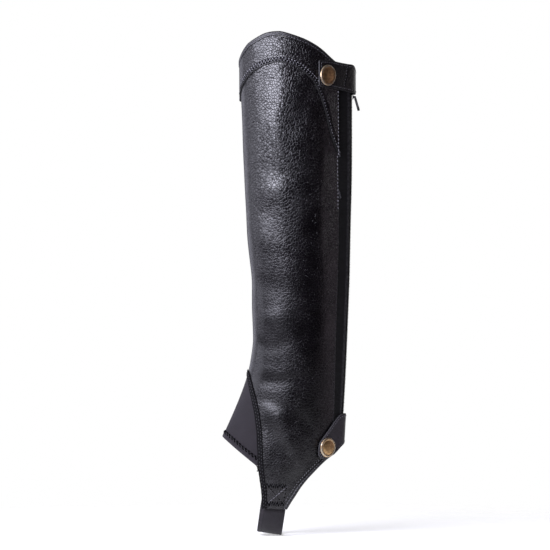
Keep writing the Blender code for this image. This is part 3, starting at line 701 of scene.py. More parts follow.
@functools.cache
def ribs_group():
    """Woven elastic or knit: ribs along one way of the cloth's own map, crossed by finer yarns."""
    tree, given, out = new_group(
        "Ribbed weave", "ShaderNodeTree", {"Vector": None, "Rib": 0.0012, "Yarn": 0.0007},
        ["Height", "Mottle"],
    )
    fuzz = noise(tree, given["Vector"], 260.0, 2.0, "Color")
    spread = vector_node(tree, "MULTIPLY", fuzz, (0.0005, 0.0005, 0.0))[0]
    place = vector_node(tree, "ADD", given["Vector"], spread)[0]
    split = add_node(tree, "ShaderNodeSeparateXYZ", {0: place})

    def wave(value, pitch):
        turns = product(tree, math_node(tree, "DIVIDE", value, pitch), math.tau)
        return math_node(tree, "MULTIPLY_ADD", math_node(tree, "SINE", turns), 0.5, 0.5)

    ribs, yarns = wave(split.outputs["Y"], given["Rib"]), wave(split.outputs["X"], given["Yarn"])
    tree.links.new(math_node(tree, "MULTIPLY_ADD", yarns, 0.35, ribs), out["Height"])
    tree.links.new(noise(tree, given["Vector"], 60.0, 4.0), out["Mottle"])
    return tree


@functools.cache
def wear_group():
    """Wear along edges: a piece's own edge mask, broken up by noise."""
    tree, given, out = new_group(
        "Edge wear", "ShaderNodeTree", {"Vector": None, "Edge": 0.0, "Amount": 0.6}, ["Mask"]
    )
    rubbed = remapped(tree, noise(tree, given["Vector"], 420.0, 4.0), 0.38, 0.66, 0.25, 1.0)
    edge = product(tree, given["Edge"], rubbed)
    tree.links.new(product(tree, edge, given["Amount"], clamp=True), out["Mask"])
    return tree


def new_finish(name, **constants):
    """A material, its tree, its shader and the vectors that patterns are laid on."""
    made = bpy.data.materials.new(name)
    made.use_nodes = True
    tree = made.node_tree
    shader = tree.nodes["Principled BSDF"]
    for key, value in constants.items():
        shader.inputs[key.replace("_", " ")].default_value = value
    place = add_node(tree, "ShaderNodeTexCoord").outputs["Object"]
    return made, tree, shader, place


def driven(tree, shader, colour, roughness=None, metallic=None):
    """Links what a pattern decides to the shader."""
    for key, value in (("Base Color", colour), ("Roughness", roughness), ("Metallic", metallic)):
        if value is not None:
            tree.links.new(value, shader.inputs[key])


def raised(tree, shader, height, distance):
    """Bumps of this depth in metres, from a height of 0 to 1."""
    bump = add_node(tree, "ShaderNodeBump", {"Height": height, "Distance": distance, "Strength": 1.0})
    tree.links.new(bump.outputs["Normal"], shader.inputs["Normal"])


def cloth_map(tree):
    """Places on the piece's own map."""
    return add_node(tree, "ShaderNodeUVMap", uv_map="cloth").outputs[0]


def worn_edge(tree, vector, amount):
    """Where the piece's edge mask is worn."""
    edge = add_node(tree, "ShaderNodeAttribute", attribute_name="edge").outputs["Fac"]
    return effect(tree, wear_group(), {"Vector": vector, "Edge": edge, "Amount": amount})[0]


def rgba(colour, factor=1.0):
    """A colour this many times as bright."""
    return (*(min(1.0, c * factor) for c in colour), 1.0)


# The grain is pulled flatter from the calf to the ankle: between these heights in metres, by these shares
GRAIN_FADES = (-0.13, 0.07)
GRAIN_SHARES = (0.45, 1.1)

# Leathers: cells to a metre, depth of the creases between them, lean of the cells, height of the waves,
# roughness, wear of the edges (on the yoke a painted shadow line), shade of the dye (on the rubbed tab also
# painted light), and gloss
LEATHERS = {
    "Pebbled leather": (410.0, 0.11, 0.112, 0.035, 0.23, 0.5, 1.0, 0.5),
    "Yoke leather": (410.0, 0.11, 0.112, 0.035, 0.23, 2.0, 1.0, 0.5),
    "Tab leather": (560.0, 0.04, 0.06, 0.1, 0.42, 0.8, 1.0, 0.35),
    "Rubbed tab leather": (560.0, 0.04, 0.06, 0.1, 0.5, 0.9, 6.0, 0.5),
    "Binding leather": (620.0, 0.03, 0.05, 0.08, 0.36, 0.55, 1.1, 0.5),
    "Seam strip leather": (640.0, 0.02, 0.03, 0.05, 0.7, 0.1, 0.6, 0.12),
}

# Leathers whose edge band is painted a dark, dull colour, a painted shadow line along the yoke's lower edge,
# where the others' cut edge is rubbed pale
SHADOW_PAINTED_EDGES = {"Yoke leather": (0.001, 0.001, 0.001)}

# Cloths: colour, pitch of the ribs, pitch of the yarns across them and depth of the weave in metres,
# roughness, sheen, contrast of the shade painted along the weave, how many times paler a rubbed place is (on
# the stretch panel's roll a painted rim light), and gloss
CLOTHS = {
    "Lining cloth": ("lining", 0.0009, 0.0009, 0.00012, 0.92, 0.35, 0.35, 2.2, 0.3),
    "Ribbed stretch cloth": ("stretch", 0.0014, 0.0008, 0.00016, 0.85, 0.03, 0.5, 16.0, 0.15),
    "Instep stretch cloth": ("instep", 0.0011, 0.0009, 0.00016, 0.9, 0.05, 0.6, 3.0, 0.3),
    "Elastic webbing": ("webbing", 0.0011, 0.0016, 0.0002, 0.84, 0.08, 0.6, 5.0, 0.3),
    "Zip tape": ("tape", 0.0007, 0.0006, 0.0001, 0.8, 0.08, 0.4, 2.2, 0.3),
}

# Threads: shade and gloss. The thread colour is painted lighter than the real black thread, a painted
# highlight that
# each shade scales: the pale thread paints a stronger one, the dim and dull ones weaker ones, and the black
# one keeps the thread's own colour
THREADS = {
    "Sewing thread": (1.0, 0.4),
    "Pale sewing thread": (1.8, 0.4),
    "Dull thread": (0.4, 0.25),
    "Dim sewing thread": (0.2, 0.2),
    "Black sewing thread": (0.02, 0.0),
}


# Specked finishes: colour, its dark and pale tones, scale and detail of the specks, where the tones start and
# end, roughness of both tones, and depth in metres
SPECKED = {
    "Cut leather edge": ("cut_edge", (0.5, 1.5), 1500.0, 4.0, (0.35, 0.7), (0.75, 0.75), 0.0002),
    "Zip coil nylon": ("tape", (0.7, 1.6), 700.0, 3.0, (0.3, 0.7), (0.3, 0.48), 0.00004),
}


def leather_finish(name, cells, creases, lean, waves, roughness, wear, shade, gloss):
    """Pebbled leather, its grain laid on the piece's own map."""
    made, tree, shader, place = new_finish(name, Specular_IOR_Level=gloss)
    sizes_of_grain = {"Cells": cells, "Crease depth": creases, "Lean": lean, "Waves": waves}
    grain = effect(tree, grain_group(), {"Vector": cloth_map(tree)} | sizes_of_grain)
    worn = worn_edge(tree, place, wear)
    # On the yoke the edge band takes a near-black colour: a painted shadow line along its lower edge
    coloured = SHADOW_PAINTED_EDGES.get(name)
    base = colours().leather
    patches = remapped(tree, grain["Mottle"], 0.3, 0.7)
    mottled = mixed(tree, patches, rgba(base, 0.7 * shade), rgba(base, 1.4 * shade))
    # Painted shade: the creases between the pebbles are darkened to three tenths of the leather's colour
    creased = mixed(tree, grain["Creases"], mottled, rgba(base, 0.3 * shade))
    rough = math_node(tree, "MULTIPLY_ADD", grain["Creases"], 0.08, roughness)
    rough = math_node(tree, "ADD", rough, remapped(tree, grain["Mottle"], 0.3, 0.7, -0.03, 0.04))
    rough = math_node(tree, "MULTIPLY_ADD", worn, 0.6 if coloured else 0.25, rough)
    driven(tree, shader, mixed(tree, worn, creased, rgba(coloured or colours().cut_edge)), rough)
    height = add_node(tree, "ShaderNodeSeparateXYZ", {0: place}).outputs["Z"]
    stretched = remapped(tree, height, *GRAIN_FADES, *GRAIN_SHARES)
    raised(tree, shader, product(tree, grain["Height"], stretched), MM)
    return made


def cloth_finish(name, colour, rib, yarn, depth, roughness, sheen, contrast, rubbed, gloss):
    """A woven or knitted cloth whose ribs follow its own map."""
    made, tree, shader, _ = new_finish(
        name, Specular_IOR_Level=gloss, Sheen_Weight=sheen, Sheen_Roughness=0.55
    )
    colour = getattr(colours(), colour)
    weave = effect(tree, ribs_group(), {"Vector": cloth_map(tree), "Rib": rib, "Yarn": yarn})
    # Painted shade and light: the colour follows the weave's height, darker in its furrows and paler on its
    # ridges, mixed with a random mottle
    painted_weave_shade = product(tree, weave["Height"], contrast)
    tone = math_node(tree, "MULTIPLY_ADD", weave["Mottle"], 0.8, painted_weave_shade)
    shaded = mixed(tree, remapped(tree, tone, 0.25, 0.95), rgba(colour, 0.45), rgba(colour, 1.7))
    rough = math_node(tree, "MULTIPLY_ADD", weave["Mottle"], 0.12, roughness - 0.06)
    # Where the edge mask shows the colour is painted paler: rubbed wear on most cloths, and on the stretch
    # panel's roll a painted rim light
    worn = worn_edge(tree, cloth_map(tree), 0.5)
    driven(tree, shader, mixed(tree, worn, shaded, rgba(colour, rubbed)), rough)
    raised(tree, shader, weave["Height"], depth)
    return made


def thread_finish(name, shade, gloss):
    """Twisted thread."""
    made, tree, shader, place = new_finish(name, Roughness=0.5, Specular_IOR_Level=gloss)
    inputs = {"Vector": place, "Scale": 520.0, "Distortion": 2.0}
    twist = add_node(tree, "ShaderNodeTexWave", inputs, bands_direction="DIAGONAL").outputs["Fac"]
    dark, pale = (rgba(colours().thread, factor * shade) for factor in (0.6, 1.3))
    driven(tree, shader, mixed(tree, twist, dark, pale))
    raised(tree, shader, twist, 0.00006)
    return made


def specked_finish(name, colour, tones, scale, detail, shares, roughness, depth):
    """Fibres or specks in two tones."""
    made, tree, shader, place = new_finish(name)
    speck = noise(tree, place, scale, detail)
    dark, pale = (rgba(getattr(colours(), colour), tone) for tone in tones)
    rough = remapped(tree, speck, *shares, *roughness)
    driven(tree, shader, mixed(tree, remapped(tree, speck, *shares), dark, pale), rough)
    raised(tree, shader, speck, depth)
    return made


def black_metal_finish(name):
    """Blackened zinc: satin black that is rubbed to bare metal along the edges."""
    made, tree, shader, place = new_finish(name)
    worn = worn_edge(tree, place, 0.8)
    speck = noise(tree, place, 900.0, 4.0)
    colour = mixed(tree, worn, rgba((0.006, 0.006, 0.007)), rgba((0.05, 0.048, 0.046)))
    metallic = math_node(tree, "MULTIPLY_ADD", worn, 0.6, 0.1, clamp=True)
    driven(tree, shader, colour, remapped(tree, speck, 0.3, 0.7, 0.36, 0.55), metallic)
    raised(tree, shader, speck, 0.00003)
    return made


def brass_finish(name):
    """Antique brass: a brown patina on the cap, rubbed paler on its rim."""
    made, tree, shader, place = new_finish(name, Metallic=1.0)
    inputs = {"Vector": place, "Scale": 330.0, "Detail": 5.0, "Roughness": 0.65}
    patina = add_node(tree, "ShaderNodeTexNoise", inputs).outputs["Fac"]
    speck = noise(tree, place, 1400.0, 3.0)
    worn = worn_edge(tree, place, 1.0)
    browned = remapped(tree, patina, 0.34, 0.66)
    face = mixed(tree, browned, rgba(colours().brass_dark), rgba(colours().brass))
    rough = math_node(tree, "MULTIPLY_ADD", worn, 0.12, remapped(tree, patina, 0.3, 0.7, 0.46, 0.32))
    driven(tree, shader, mixed(tree, worn, face, rgba(colours().brass_rim)), rough)
    raised(tree, shader, math_node(tree, "MULTIPLY_ADD", speck, 0.4, patina), 0.00007)
    return made


# The floor's radius and height in metres, and how far from its middle it starts and ends fading
FLOOR_RADIUS = 0.9
FLOOR_AT = CAD_BOX[0].z - 0.0006
FLOOR_FADES = (0.10, 0.63)


def floor_finish(name):
    """Almost white, lit a little from within, and fading out round its middle."""
    made, tree, shader, place = new_finish(
        name, Roughness=0.9, Emission_Color=(1, 1, 1, 1), Emission_Strength=0.45
    )
    dark, pale = (rgba((tone,) * 3) for tone in (0.90, 0.94))
    driven(tree, shader, mixed(tree, noise(tree, place, 90.0, 3.0), dark, pale))
    distance = vector_node(tree, "DISTANCE", place, (0, 0, FLOOR_AT))["Value"]
    tree.links.new(remapped(tree, distance, *FLOOR_FADES, 1.0, 0.0), shader.inputs["Alpha"])
    return made


FINISH_TABLES = (
    (LEATHERS, leather_finish), (CLOTHS, cloth_finish), (THREADS, thread_finish), (SPECKED, specked_finish),
)
OTHER_FINISHES = {
    "Blackened metal": black_metal_finish, "Antique brass": brass_finish, "Pale floor": floor_finish,
}


@functools.cache
def finish(name):
    """The material of this name, made the first time it is asked for."""
    for table, make in FINISH_TABLES:
        if name in table:
            return make(name, *table[name])
    return OTHER_FINISHES[name](name)


# Meshes

SHARP_ANGLE = math.radians(48)
BEVELLED_ANGLE = math.radians(35)


def linked(name, data):
    """A new object in the scene."""
    made = bpy.data.objects.new(name, data)
    bpy.context.scene.collection.objects.link(made)
    return made


def new_piece(name, points, faces, finishes, maps=None, edge=None, turn_out=False):
    """An object from points in millimetres, with its own map in metres and its edge mask."""
    mesh = bpy.data.meshes.new(name)
    mesh.from_pydata((np.asarray(points, float) * MM).tolist(), [], faces)
    for one in finishes:
        mesh.materials.append(finish(one))
    if turn_out:
        shell = bmesh.new()
        shell.from_mesh(mesh)
        bmesh.ops.recalc_face_normals(shell, faces=shell.faces)
        shell.to_mesh(mesh)
        shell.free()
    if maps is not None:
        corners = np.zeros(len(mesh.loops), np.int32)
        mesh.loops.foreach_get("vertex_index", corners)
        layer = mesh.uv_layers.new(name="cloth")
        layer.data.foreach_set("uv", (np.asarray(maps, float)[corners] * MM).ravel())
    mask = np.zeros(len(mesh.vertices)) if edge is None else np.asarray(edge, float)
    mesh.attributes.new("edge", "FLOAT", "POINT").data.foreach_set("value", mask)
    mesh.shade_smooth()
    mesh.set_sharp_from_angle(angle=SHARP_ANGLE)
    return linked(name, mesh)


def settled(piece, nodes=(), body="chap"):
    """The piece rides on its body, stands for its CAD nodes and takes its slot's finish."""
    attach(piece, body)
    if nodes:
        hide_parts(*nodes)
    return piece


def grid_faces(columns, rows, start=0, flip=False):
    """Faces between the points of a grid that is numbered row by row in each column."""
    c, r = np.meshgrid(np.arange(columns - 1), np.arange(rows - 1), indexing="ij")
    a = start + c * rows + r
    faces = np.stack((a, a + rows, a + rows + 1, a + 1), -1).reshape(-1, 4)
    return (faces[:, ::-1] if flip else faces).tolist()


def ring_faces(rings_there, sides, start=0, flip=False):
    """Faces between rings of points that follow each other."""
    ring, k = np.meshgrid(np.arange(rings_there - 1), np.arange(sides), indexing="ij")
    here, beyond = start + ring * sides + k, start + ring * sides + (k + 1) % sides
    faces = np.stack((here, beyond, beyond + sides, here + sides), -1).reshape(-1, 4)
    return (faces[:, [0, 3, 2, 1]] if flip else faces).tolist()


def fan_faces(sides):
    """Faces from the first point to the ring of points that follows it."""
    return [(0, 1 + k, 1 + (k + 1) % sides) for k in range(sides)]


def turned(radius, height, sides):
    """A ring of points round the Z axis."""
    return [
        (radius * math.cos(a), radius * math.sin(a), height)
        for a in np.linspace(0, math.tau, sides, endpoint=False)
    ]


def sheet_piece(name, stations, heights, outs, thickness, finishes, coarse=1, edge=None):
    """A cloth sheet over a grid of stations and heights, with its inner face and its rims.

    A second finish is the rims' own. The inner face has every point, or every second one if coarse is 2.
    """
    outs = np.broadcast_to(np.asarray(outs, float), stations.shape)
    columns, rows = stations.shape
    thin = slice(None, None, coarse)
    outer, _ = on_cloth(stations, heights, outs)
    inner, _ = on_cloth(stations[thin, thin], heights[thin, thin], outs[thin, thin] - thickness)
    flat = np.stack((girth_at(stations, heights), heights), -1)
    mask = np.zeros(stations.shape) if edge is None else edge
    start, inner_columns, inner_rows = columns * rows, *inner.shape[:2]
    faces = grid_faces(columns, rows) + grid_faces(inner_columns, inner_rows, start, flip=True)
    first_rim = len(faces)

    def rim(outer_start, outer_step, inner_start, inner_step, count, forward):
        for k in range(count):
            near = [outer_start + j * outer_step for j in range(k * coarse, (k + 1) * coarse + 1)]
            far = [inner_start + (k + 1) * inner_step, inner_start + k * inner_step]
            faces.append(near + far if forward else near[::-1] + far[::-1])

    last_inner = start + (inner_columns - 1) * inner_rows
    rim(0, rows, start, inner_rows, inner_columns - 1, False)
    rim(rows - 1, rows, start + inner_rows - 1, inner_rows, inner_columns - 1, True)
    rim(0, 1, start, 1, inner_rows - 1, True)
    rim((columns - 1) * rows, 1, last_inner, 1, inner_rows - 1, False)
    points = np.vstack((outer.reshape(-1, 3), inner.reshape(-1, 3)))
    maps = np.vstack((flat.reshape(-1, 2), flat[thin, thin].reshape(-1, 2)))
    masks = np.concatenate((mask.ravel(), mask[thin, thin].ravel()))
    piece = new_piece(name, points, faces, finishes, maps, masks)
    if len(finishes) > 1:
        index = np.zeros(len(faces), np.int32)
        index[first_rim:] = 1
        piece.data.polygons.foreach_set("material_index", index)
    return piece


# How far a sheet's first points are from its edges, so that they can be rounded
RIM = (0.0, 0.25, 0.7, 1.6)


def border_places(length, steps, rim):
    """Places along a length in this many even steps, with these extra ones near both ends."""
    rim = np.asarray(rim, float)
    middle = np.linspace(rim[-1], length - rim[-1], steps + 1)
    return np.concatenate((rim[:-1], middle, (length - rim[:-1])[::-1]))


def between_edges(lows, highs, rows, rim=RIM):
    """Stations and heights of a grid between two matched edges, and how far each point is from either."""
    lengths = np.linalg.norm(flat_line(highs) - flat_line(lows), axis=1)
    lengths = np.maximum(lengths, 2 * rim[-1] + 0.5)[:, None]
    steps = rows - 2 * (len(rim) - 1)
    shares = np.array([border_places(length, steps, rim) / length for length in lengths[:, 0]])
    grid = lows[:, None, :] * (1 - shares[..., None]) + highs[:, None, :] * shares[..., None]
    return grid[..., 0], grid[..., 1], np.minimum(shares, 1 - shares) * lengths


def near_edge(away, reach):
    """1 at an edge and 0 from this far inside it."""
    return np.clip(1 - away / reach, 0, 1)


def rounded_off(away, reach=0.7, drop=0.35):
    """How far a face falls towards its cut edge."""
    return drop * near_edge(away, reach) ** 2


def column_distance(stations, heights):
    """How far each column of a grid is from the grid's two ends, over the cloth."""
    flat = np.stack((girth_at(stations, heights), heights), -1)
    steps = np.linalg.norm(np.diff(flat, axis=0), axis=-1).mean(axis=1)
    along = np.append(0, np.cumsum(steps))
    return np.minimum(along, along[-1] - along)[:, None]


def plain_grid(lows, highs, rows):
    """Stations and heights of a grid with this many even rows between two matched edges."""
    share = np.linspace(0, 1, rows + 1)[None, :, None]
    grid = lows[:, None, :] * (1 - share) + highs[:, None, :] * share
    return grid[..., 0], grid[..., 1]


def even_grid(lows, highs, spacing):
    """A grid with an odd number of columns and an even number of rows between two matched edges."""
    if len(lows) % 2 == 0:
        places, at = (np.linspace(0, 1, len(lows) + more) for more in (0, 1))
        lows, highs = (line_at(edge, places, at) for edge in (lows, highs))
    return plain_grid(lows, highs, int(np.abs(highs[:, 1] - lows[:, 1]).max() / spacing) // 2 * 2)


def swept_piece(name, rings_of_points, finish_name, maps=None, edge=None):
    """A closed body through rings of points that are alike."""
    rings_of_points = np.asarray(rings_of_points)
    steps, count = rings_of_points.shape[:2]
    ends = [list(range(count))[::-1], list(range((steps - 1) * count, steps * count))]
    faces = ring_faces(steps, count) + ends
    return new_piece(name, rings_of_points.reshape(-1, 3), faces, [finish_name], maps, edge, turn_out=True)


def band(name, line, profile_of, finish_name, upright=(), edge_at=(3, 4)):
    """A strip along a line: a profile's points are (distance to the right, height off the leather)."""
    flat = flat_line(line)
    profiles = np.array([profile_of(t) for t in line[:, 0]], float)
    across = line_normals(flat, upright)[:, None, :] * profiles[..., 0:1]
    g, z = flat[:, None, 0] + across[..., 0], flat[:, None, 1] + across[..., 1]
    points, _ = on_cloth(station_at(g, z), z, profiles[..., 1])
    along = np.broadcast_to(lengths_along(flat)[:, None], g.shape)
    around = np.broadcast_to(lengths_along(profiles[0])[None, :], g.shape)
    maps = np.stack((around, along), -1).reshape(-1, 2)
    mask = np.zeros(g.shape)
    mask[:, list(edge_at)] = 1.0
    return swept_piece(name, points, finish_name, maps, mask.ravel())


# Where a folded strip is sewn down, as a share of its width
SEWN_AT = 0.74


def folded(width, out, under, side=1):
    """The profile of a strip that is folded round an edge and sewn down through a shallow groove."""
    sewn_at = width * SEWN_AT
    return (
        (0.02, (out - under) / 2), (0.08, out - 0.95), (0.35, out - 0.42), (side * 0.8, out - 0.12),
        (side * 1.3, out), (side * (sewn_at - 0.9), out - 0.02), (side * (sewn_at - 0.35), out - 0.14),
        (side * sewn_at, out - 0.26), (side * (sewn_at + 0.35), out - 0.14),
        (side * (width - 0.35), out - 0.08), (side * (width - 0.05), out - 0.3),
        (side * width, out - 0.8), (side * width, -under + 0.7),
        (side * (width - 0.2), -under + 0.2), (side * sewn_at, -under + 0.05), (side * 1.0, -under),
        (side * 0.35, -under + 0.3), (0.08, -under + 0.9),
    )


# Node trees that lay thread or teeth along a line. Each line's points have an attribute that points outward.

# How far a stitch leans by chance, in radians about its length, across it and about the leather's normal,
# how far by chance a zigzag swings out as a share of its width, and its points between two holes
LEAN = (0.03, 0.02, 0.09)
SWING = (0.85, 1.1)
ZIGZAG_CUTS = 3


def outward_at(tree):
    """The outward direction at each point of a line."""
    inputs = {"Name": "outward"}
    return add_node(tree, "GeometryNodeInputNamedAttribute", inputs, data_type="FLOAT_VECTOR").outputs[0]


def even_steps(tree, given):
    """The group's line as a curve with a point at each step."""
    line = add_node(tree, "GeometryNodeMeshToCurve", {0: given["Geometry"]}).outputs[0]
    inputs = {"Curve": line, "Length": given["Pitch"]}
    return add_node(tree, "GeometryNodeResampleCurve", inputs, mode="LENGTH").outputs[0]


def laid_along(tree, given, instance, axis, spin):
    """An instance at each step, one axis along the line, Z outward, and turned by its own spin."""
    tangent = add_node(tree, "GeometryNodeInputTangent").outputs[0]
    along = add_node(tree, "FunctionNodeAlignRotationToVector", {"Vector": tangent}, axis=axis).outputs[0]
    inputs = {"Rotation": along, "Vector": outward_at(tree)}
    facing = add_node(tree, "FunctionNodeAlignRotationToVector", inputs, axis="Z", pivot_axis=axis).outputs[0]
    inputs = {0: facing, 1: add_node(tree, "FunctionNodeEulerToRotation", {0: spin}).outputs[0]}
    spun = add_node(tree, "FunctionNodeRotateRotation", inputs, rotation_space="LOCAL").outputs[0]
    inputs = {"Points": even_steps(tree, given), "Instance": instance, "Rotation": spun}
    return add_node(tree, "GeometryNodeInstanceOnPoints", inputs).outputs[0]


def shifted(tree, geometry, directions, distance):
    """Geometry moved this far along these directions."""
    shift = vector_node(tree, "SCALE", directions, scale=distance)[0]
    return add_node(tree, "GeometryNodeSetPosition", {0: geometry, "Offset": shift}).outputs[0]


def put_out(tree, given, out, geometry):
    """The group's result: smooth real geometry with its material."""
    real = add_node(tree, "GeometryNodeRealizeInstances", {0: geometry}).outputs[0]
    smooth = add_node(tree, "GeometryNodeSetShadeSmooth", {0: real}).outputs[0]
    coloured = add_node(tree, "GeometryNodeSetMaterial", {0: smooth, "Material": given["Finish"]}).outputs[0]
    tree.links.new(coloured, out["Geometry"])
    return tree


@functools.cache
def stitch_tree():
    """Running stitches: short bowed lengths of thread, one at each step along a line."""
    tree, given, out = new_group(
        "Running stitches", "GeometryNodeTree",
        {
            "Geometry": None, "Pitch": 0.0032, "Stitch length": 0.0026, "Thread": 0.0006, "Sink": 0.0003,
            "Seed": 3, "Finish": None,
        },
        ["Geometry"],
    )
    ball = add_node(tree, "GeometryNodeMeshUVSphere", {"Segments": 6, "Rings": 6, "Radius": 0.5}).outputs[0]
    size = {0: given["Stitch length"], 1: given["Thread"], 2: given["Thread"]}
    size = add_node(tree, "ShaderNodeCombineXYZ", size).outputs[0]
    lying = add_node(tree, "GeometryNodeTransform", {0: ball, "Rotation": (0, math.pi / 2, 0)}).outputs[0]
    long = add_node(tree, "GeometryNodeTransform", {0: lying, "Scale": size}).outputs[0]
    place = add_node(tree, "GeometryNodeInputPosition").outputs[0]
    place = add_node(tree, "ShaderNodeSeparateXYZ", {0: place}).outputs["X"]
    share = math_node(tree, "DIVIDE", place, given["Stitch length"])
    dip = product(tree, share, share, given["Sink"], -8.0)
    bowed = shifted(tree, long, (0, 0, 1), dip)
    chance = {"Min": [-lean for lean in LEAN], "Max": LEAN, "Seed": given["Seed"]}
    tilt = add_node(tree, "FunctionNodeRandomValue", chance, data_type="FLOAT_VECTOR").outputs[0]
    return put_out(tree, given, out, laid_along(tree, given, bowed, "X", tilt))


@functools.cache
def zigzag_tree():
    """One thread that crosses from side to side along a line and dips at each hole."""
    tree, given, out = new_group(
        "Zigzag thread", "GeometryNodeTree",
        {
            "Geometry": None, "Pitch": 0.002, "Width": 0.003, "Thread": 0.0006, "Sink": 0.0004, "Seed": 5,
            "Finish": None,
        },
        ["Geometry"],
    )
    index = add_node(tree, "GeometryNodeInputIndex").outputs[0]
    tangent = add_node(tree, "GeometryNodeInputTangent").outputs[0]
    across = vector_node(tree, "CROSS_PRODUCT", outward_at(tree), tangent)[0]
    chance = {2: SWING[0], 3: SWING[1], "Seed": given["Seed"]}
    jitter = add_node(tree, "FunctionNodeRandomValue", chance, data_type="FLOAT").outputs[1]
    swing = math_node(tree, "SUBTRACT", math_node(tree, "MODULO", index, 2.0), 0.5)
    crossed = shifted(tree, even_steps(tree, given), across, product(tree, swing, jitter, given["Width"]))
    inputs = {0: crossed, "Cuts": ZIGZAG_CUTS}
    finer = add_node(tree, "GeometryNodeSubdivideCurve", inputs).outputs[0]
    step = math_node(tree, "MODULO", index, ZIGZAG_CUTS + 1.0)
    from_hole = math_node(tree, "ABSOLUTE", math_node(tree, "SUBTRACT", step, 2.0))
    depth = math_node(tree, "POWER", product(tree, from_hole, 0.5), 2.0)
    dipped = shifted(tree, finer, outward_at(tree), product(tree, depth, given["Sink"], -1.0))
    inputs = {"Resolution": 6, "Radius": product(tree, given["Thread"], 0.5)}
    ring = add_node(tree, "GeometryNodeCurvePrimitiveCircle", inputs).outputs[0]
    inputs = {"Curve": dipped, "Profile Curve": ring, "Fill Caps": True}
    return put_out(tree, given, out, add_node(tree, "GeometryNodeCurveToMesh", inputs).outputs[0])


@functools.cache
def coil_tree():
    """Coil teeth: one loop at each step along the zip, by turns on either side of its middle."""
    tree, given, out = new_group(
        "Zip coil", "GeometryNodeTree",
        {"Geometry": None, "Pitch": 0.0013, "Tooth": None, "Finish": None}, ["Geometry"],
    )
    tooth = add_node(tree, "GeometryNodeObjectInfo", {"Object": given["Tooth"]}).outputs["Geometry"]
    index = add_node(tree, "GeometryNodeInputIndex").outputs[0]
    half_turn = product(tree, math_node(tree, "MODULO", index, 2.0), math.pi)
    swap = add_node(tree, "ShaderNodeCombineXYZ", {2: half_turn}).outputs[0]
    return put_out(tree, given, out, laid_along(tree, given, tooth, "Y", swap))


def lines_object(name, lines):
    """A mesh of open lines, each given as points in millimetres with their outward directions."""
    edges, start = [], 0
    for line, _ in lines:
        edges += [(k, k + 1) for k in range(start, start + len(line) - 1)]
        start += len(line)
    points, outward = (np.vstack(values) for values in zip(*lines))
    mesh = bpy.data.meshes.new(name)
    mesh.from_pydata((points * MM).tolist(), edges, [])
    mesh.attributes.new("outward", "FLOAT_VECTOR", "POINT").data.foreach_set("vector", outward.ravel())
    return linked(name, mesh)


def from_nodes(name, source, tree, values):
    """The plain mesh object that a node tree makes from a source object."""
    step = source.modifiers.new("Made by nodes", "NODES")
    step.node_group = tree
    sockets = {item.name: item.identifier for item in tree.interface.items_tree if item.in_out == "INPUT"}
    for key, value in values.items():
        step[sockets[key]] = value
    bpy.context.view_layer.update()
    graph = bpy.context.evaluated_depsgraph_get()
    mesh = bpy.data.meshes.new_from_object(source.evaluated_get(graph))
    bpy.data.objects.remove(source)
    if not mesh.polygons:
        raise RuntimeError(f"{name}: the node tree made no faces")
    return linked(name, mesh)


def seam(line, outs, spacing=1.0):
    """A line of (station, z) on the cloth as points and outward directions."""
    line = thinned(line, spacing)
    if np.ndim(outs):
        outs = np.interp(np.linspace(0, 1, len(line)), np.linspace(0, 1, len(outs)), outs)
    return on_cloth(line[:, 0], line[:, 1], outs)


# The pieces


def leather_and_lining_edges(spacing):
    """The lower and upper edges of the leather, which ends beside the stretch panel."""
    lows, _, _, highs = body_edges(spacing)
    highs = highs[: len(lows)].copy()
    lows[-1], highs[-1] = beside(*lows[-1], -GAP / 2), beside(*highs[-1], -GAP / 2)
    return lows, highs


def make_leather():
    """The body: one piece of leather from the zip's inner side round the shin to the stretch panel."""
    spacing = sizes().leather_spacing / MM
    stations, heights = even_grid(*leather_and_lining_edges(spacing), spacing)
    away = column_distance(stations, heights)
    edge = np.broadcast_to(near_edge(away, 3.0), stations.shape)
    finishes = ["Pebbled leather", "Cut leather edge"]
    piece = sheet_piece("leather_body", stations, heights, 0.0, LEATHER, finishes, coarse=2, edge=edge)
    settled(piece, ["body_leather"])
    return piece


LINING_SPACING = 3.2


def make_lining():
    """The cloth inside the leather, which stops beside the zip's inner tape."""
    lows, highs = (edge[3:] for edge in leather_and_lining_edges(LINING_SPACING))
    for edge in (lows, highs):
        edge[0] = beside(-1.0, edge[0][1], TAPE_UNDER + GAP)
    stations, heights = even_grid(lows, highs, LINING_SPACING)
    piece = sheet_piece("lining_cloth", stations, heights, -LEATHER - GAP, LINING, ["Lining cloth"])
    settled(piece, ["lining"])
    return piece


def distance_to(line, stations, heights):
    """How far each point is from a line over the cloth."""
    return nearest_on(flat_line(line), girth_at(stations, heights), heights)[0]


def groove(away, at, width=0.75, depth=0.4):
    """How far a face sinks along a row of stitches that is this far from the edge."""
    return depth * np.exp(-(((away - at) / width) ** 2))


# Where the yoke's lower edge faces its top back corner, the distances of its first mesh rows from the edge,
# and those of its stitch rows
YOKE_CORNER = (14.0, 112.0)
YOKE_ROWS = (0.0, 0.25, 0.6, 1.0, 1.4, 1.75, 2.1, 2.45, 2.8, 3.2, 3.6, 4.0, 4.4, 4.8, 5.4)
YOKE_STITCHES = (2.1, 4.4)
YOKE_MESH_ROWS = 64


def yoke_edge():
    """The yoke's lower edge, from just past the shin to its tail."""
    line = side_line(YOKE_EDGE, 1)
    return np.vstack(((YOKE_REACH, YOKE_EDGE[0][1] + 2), line))


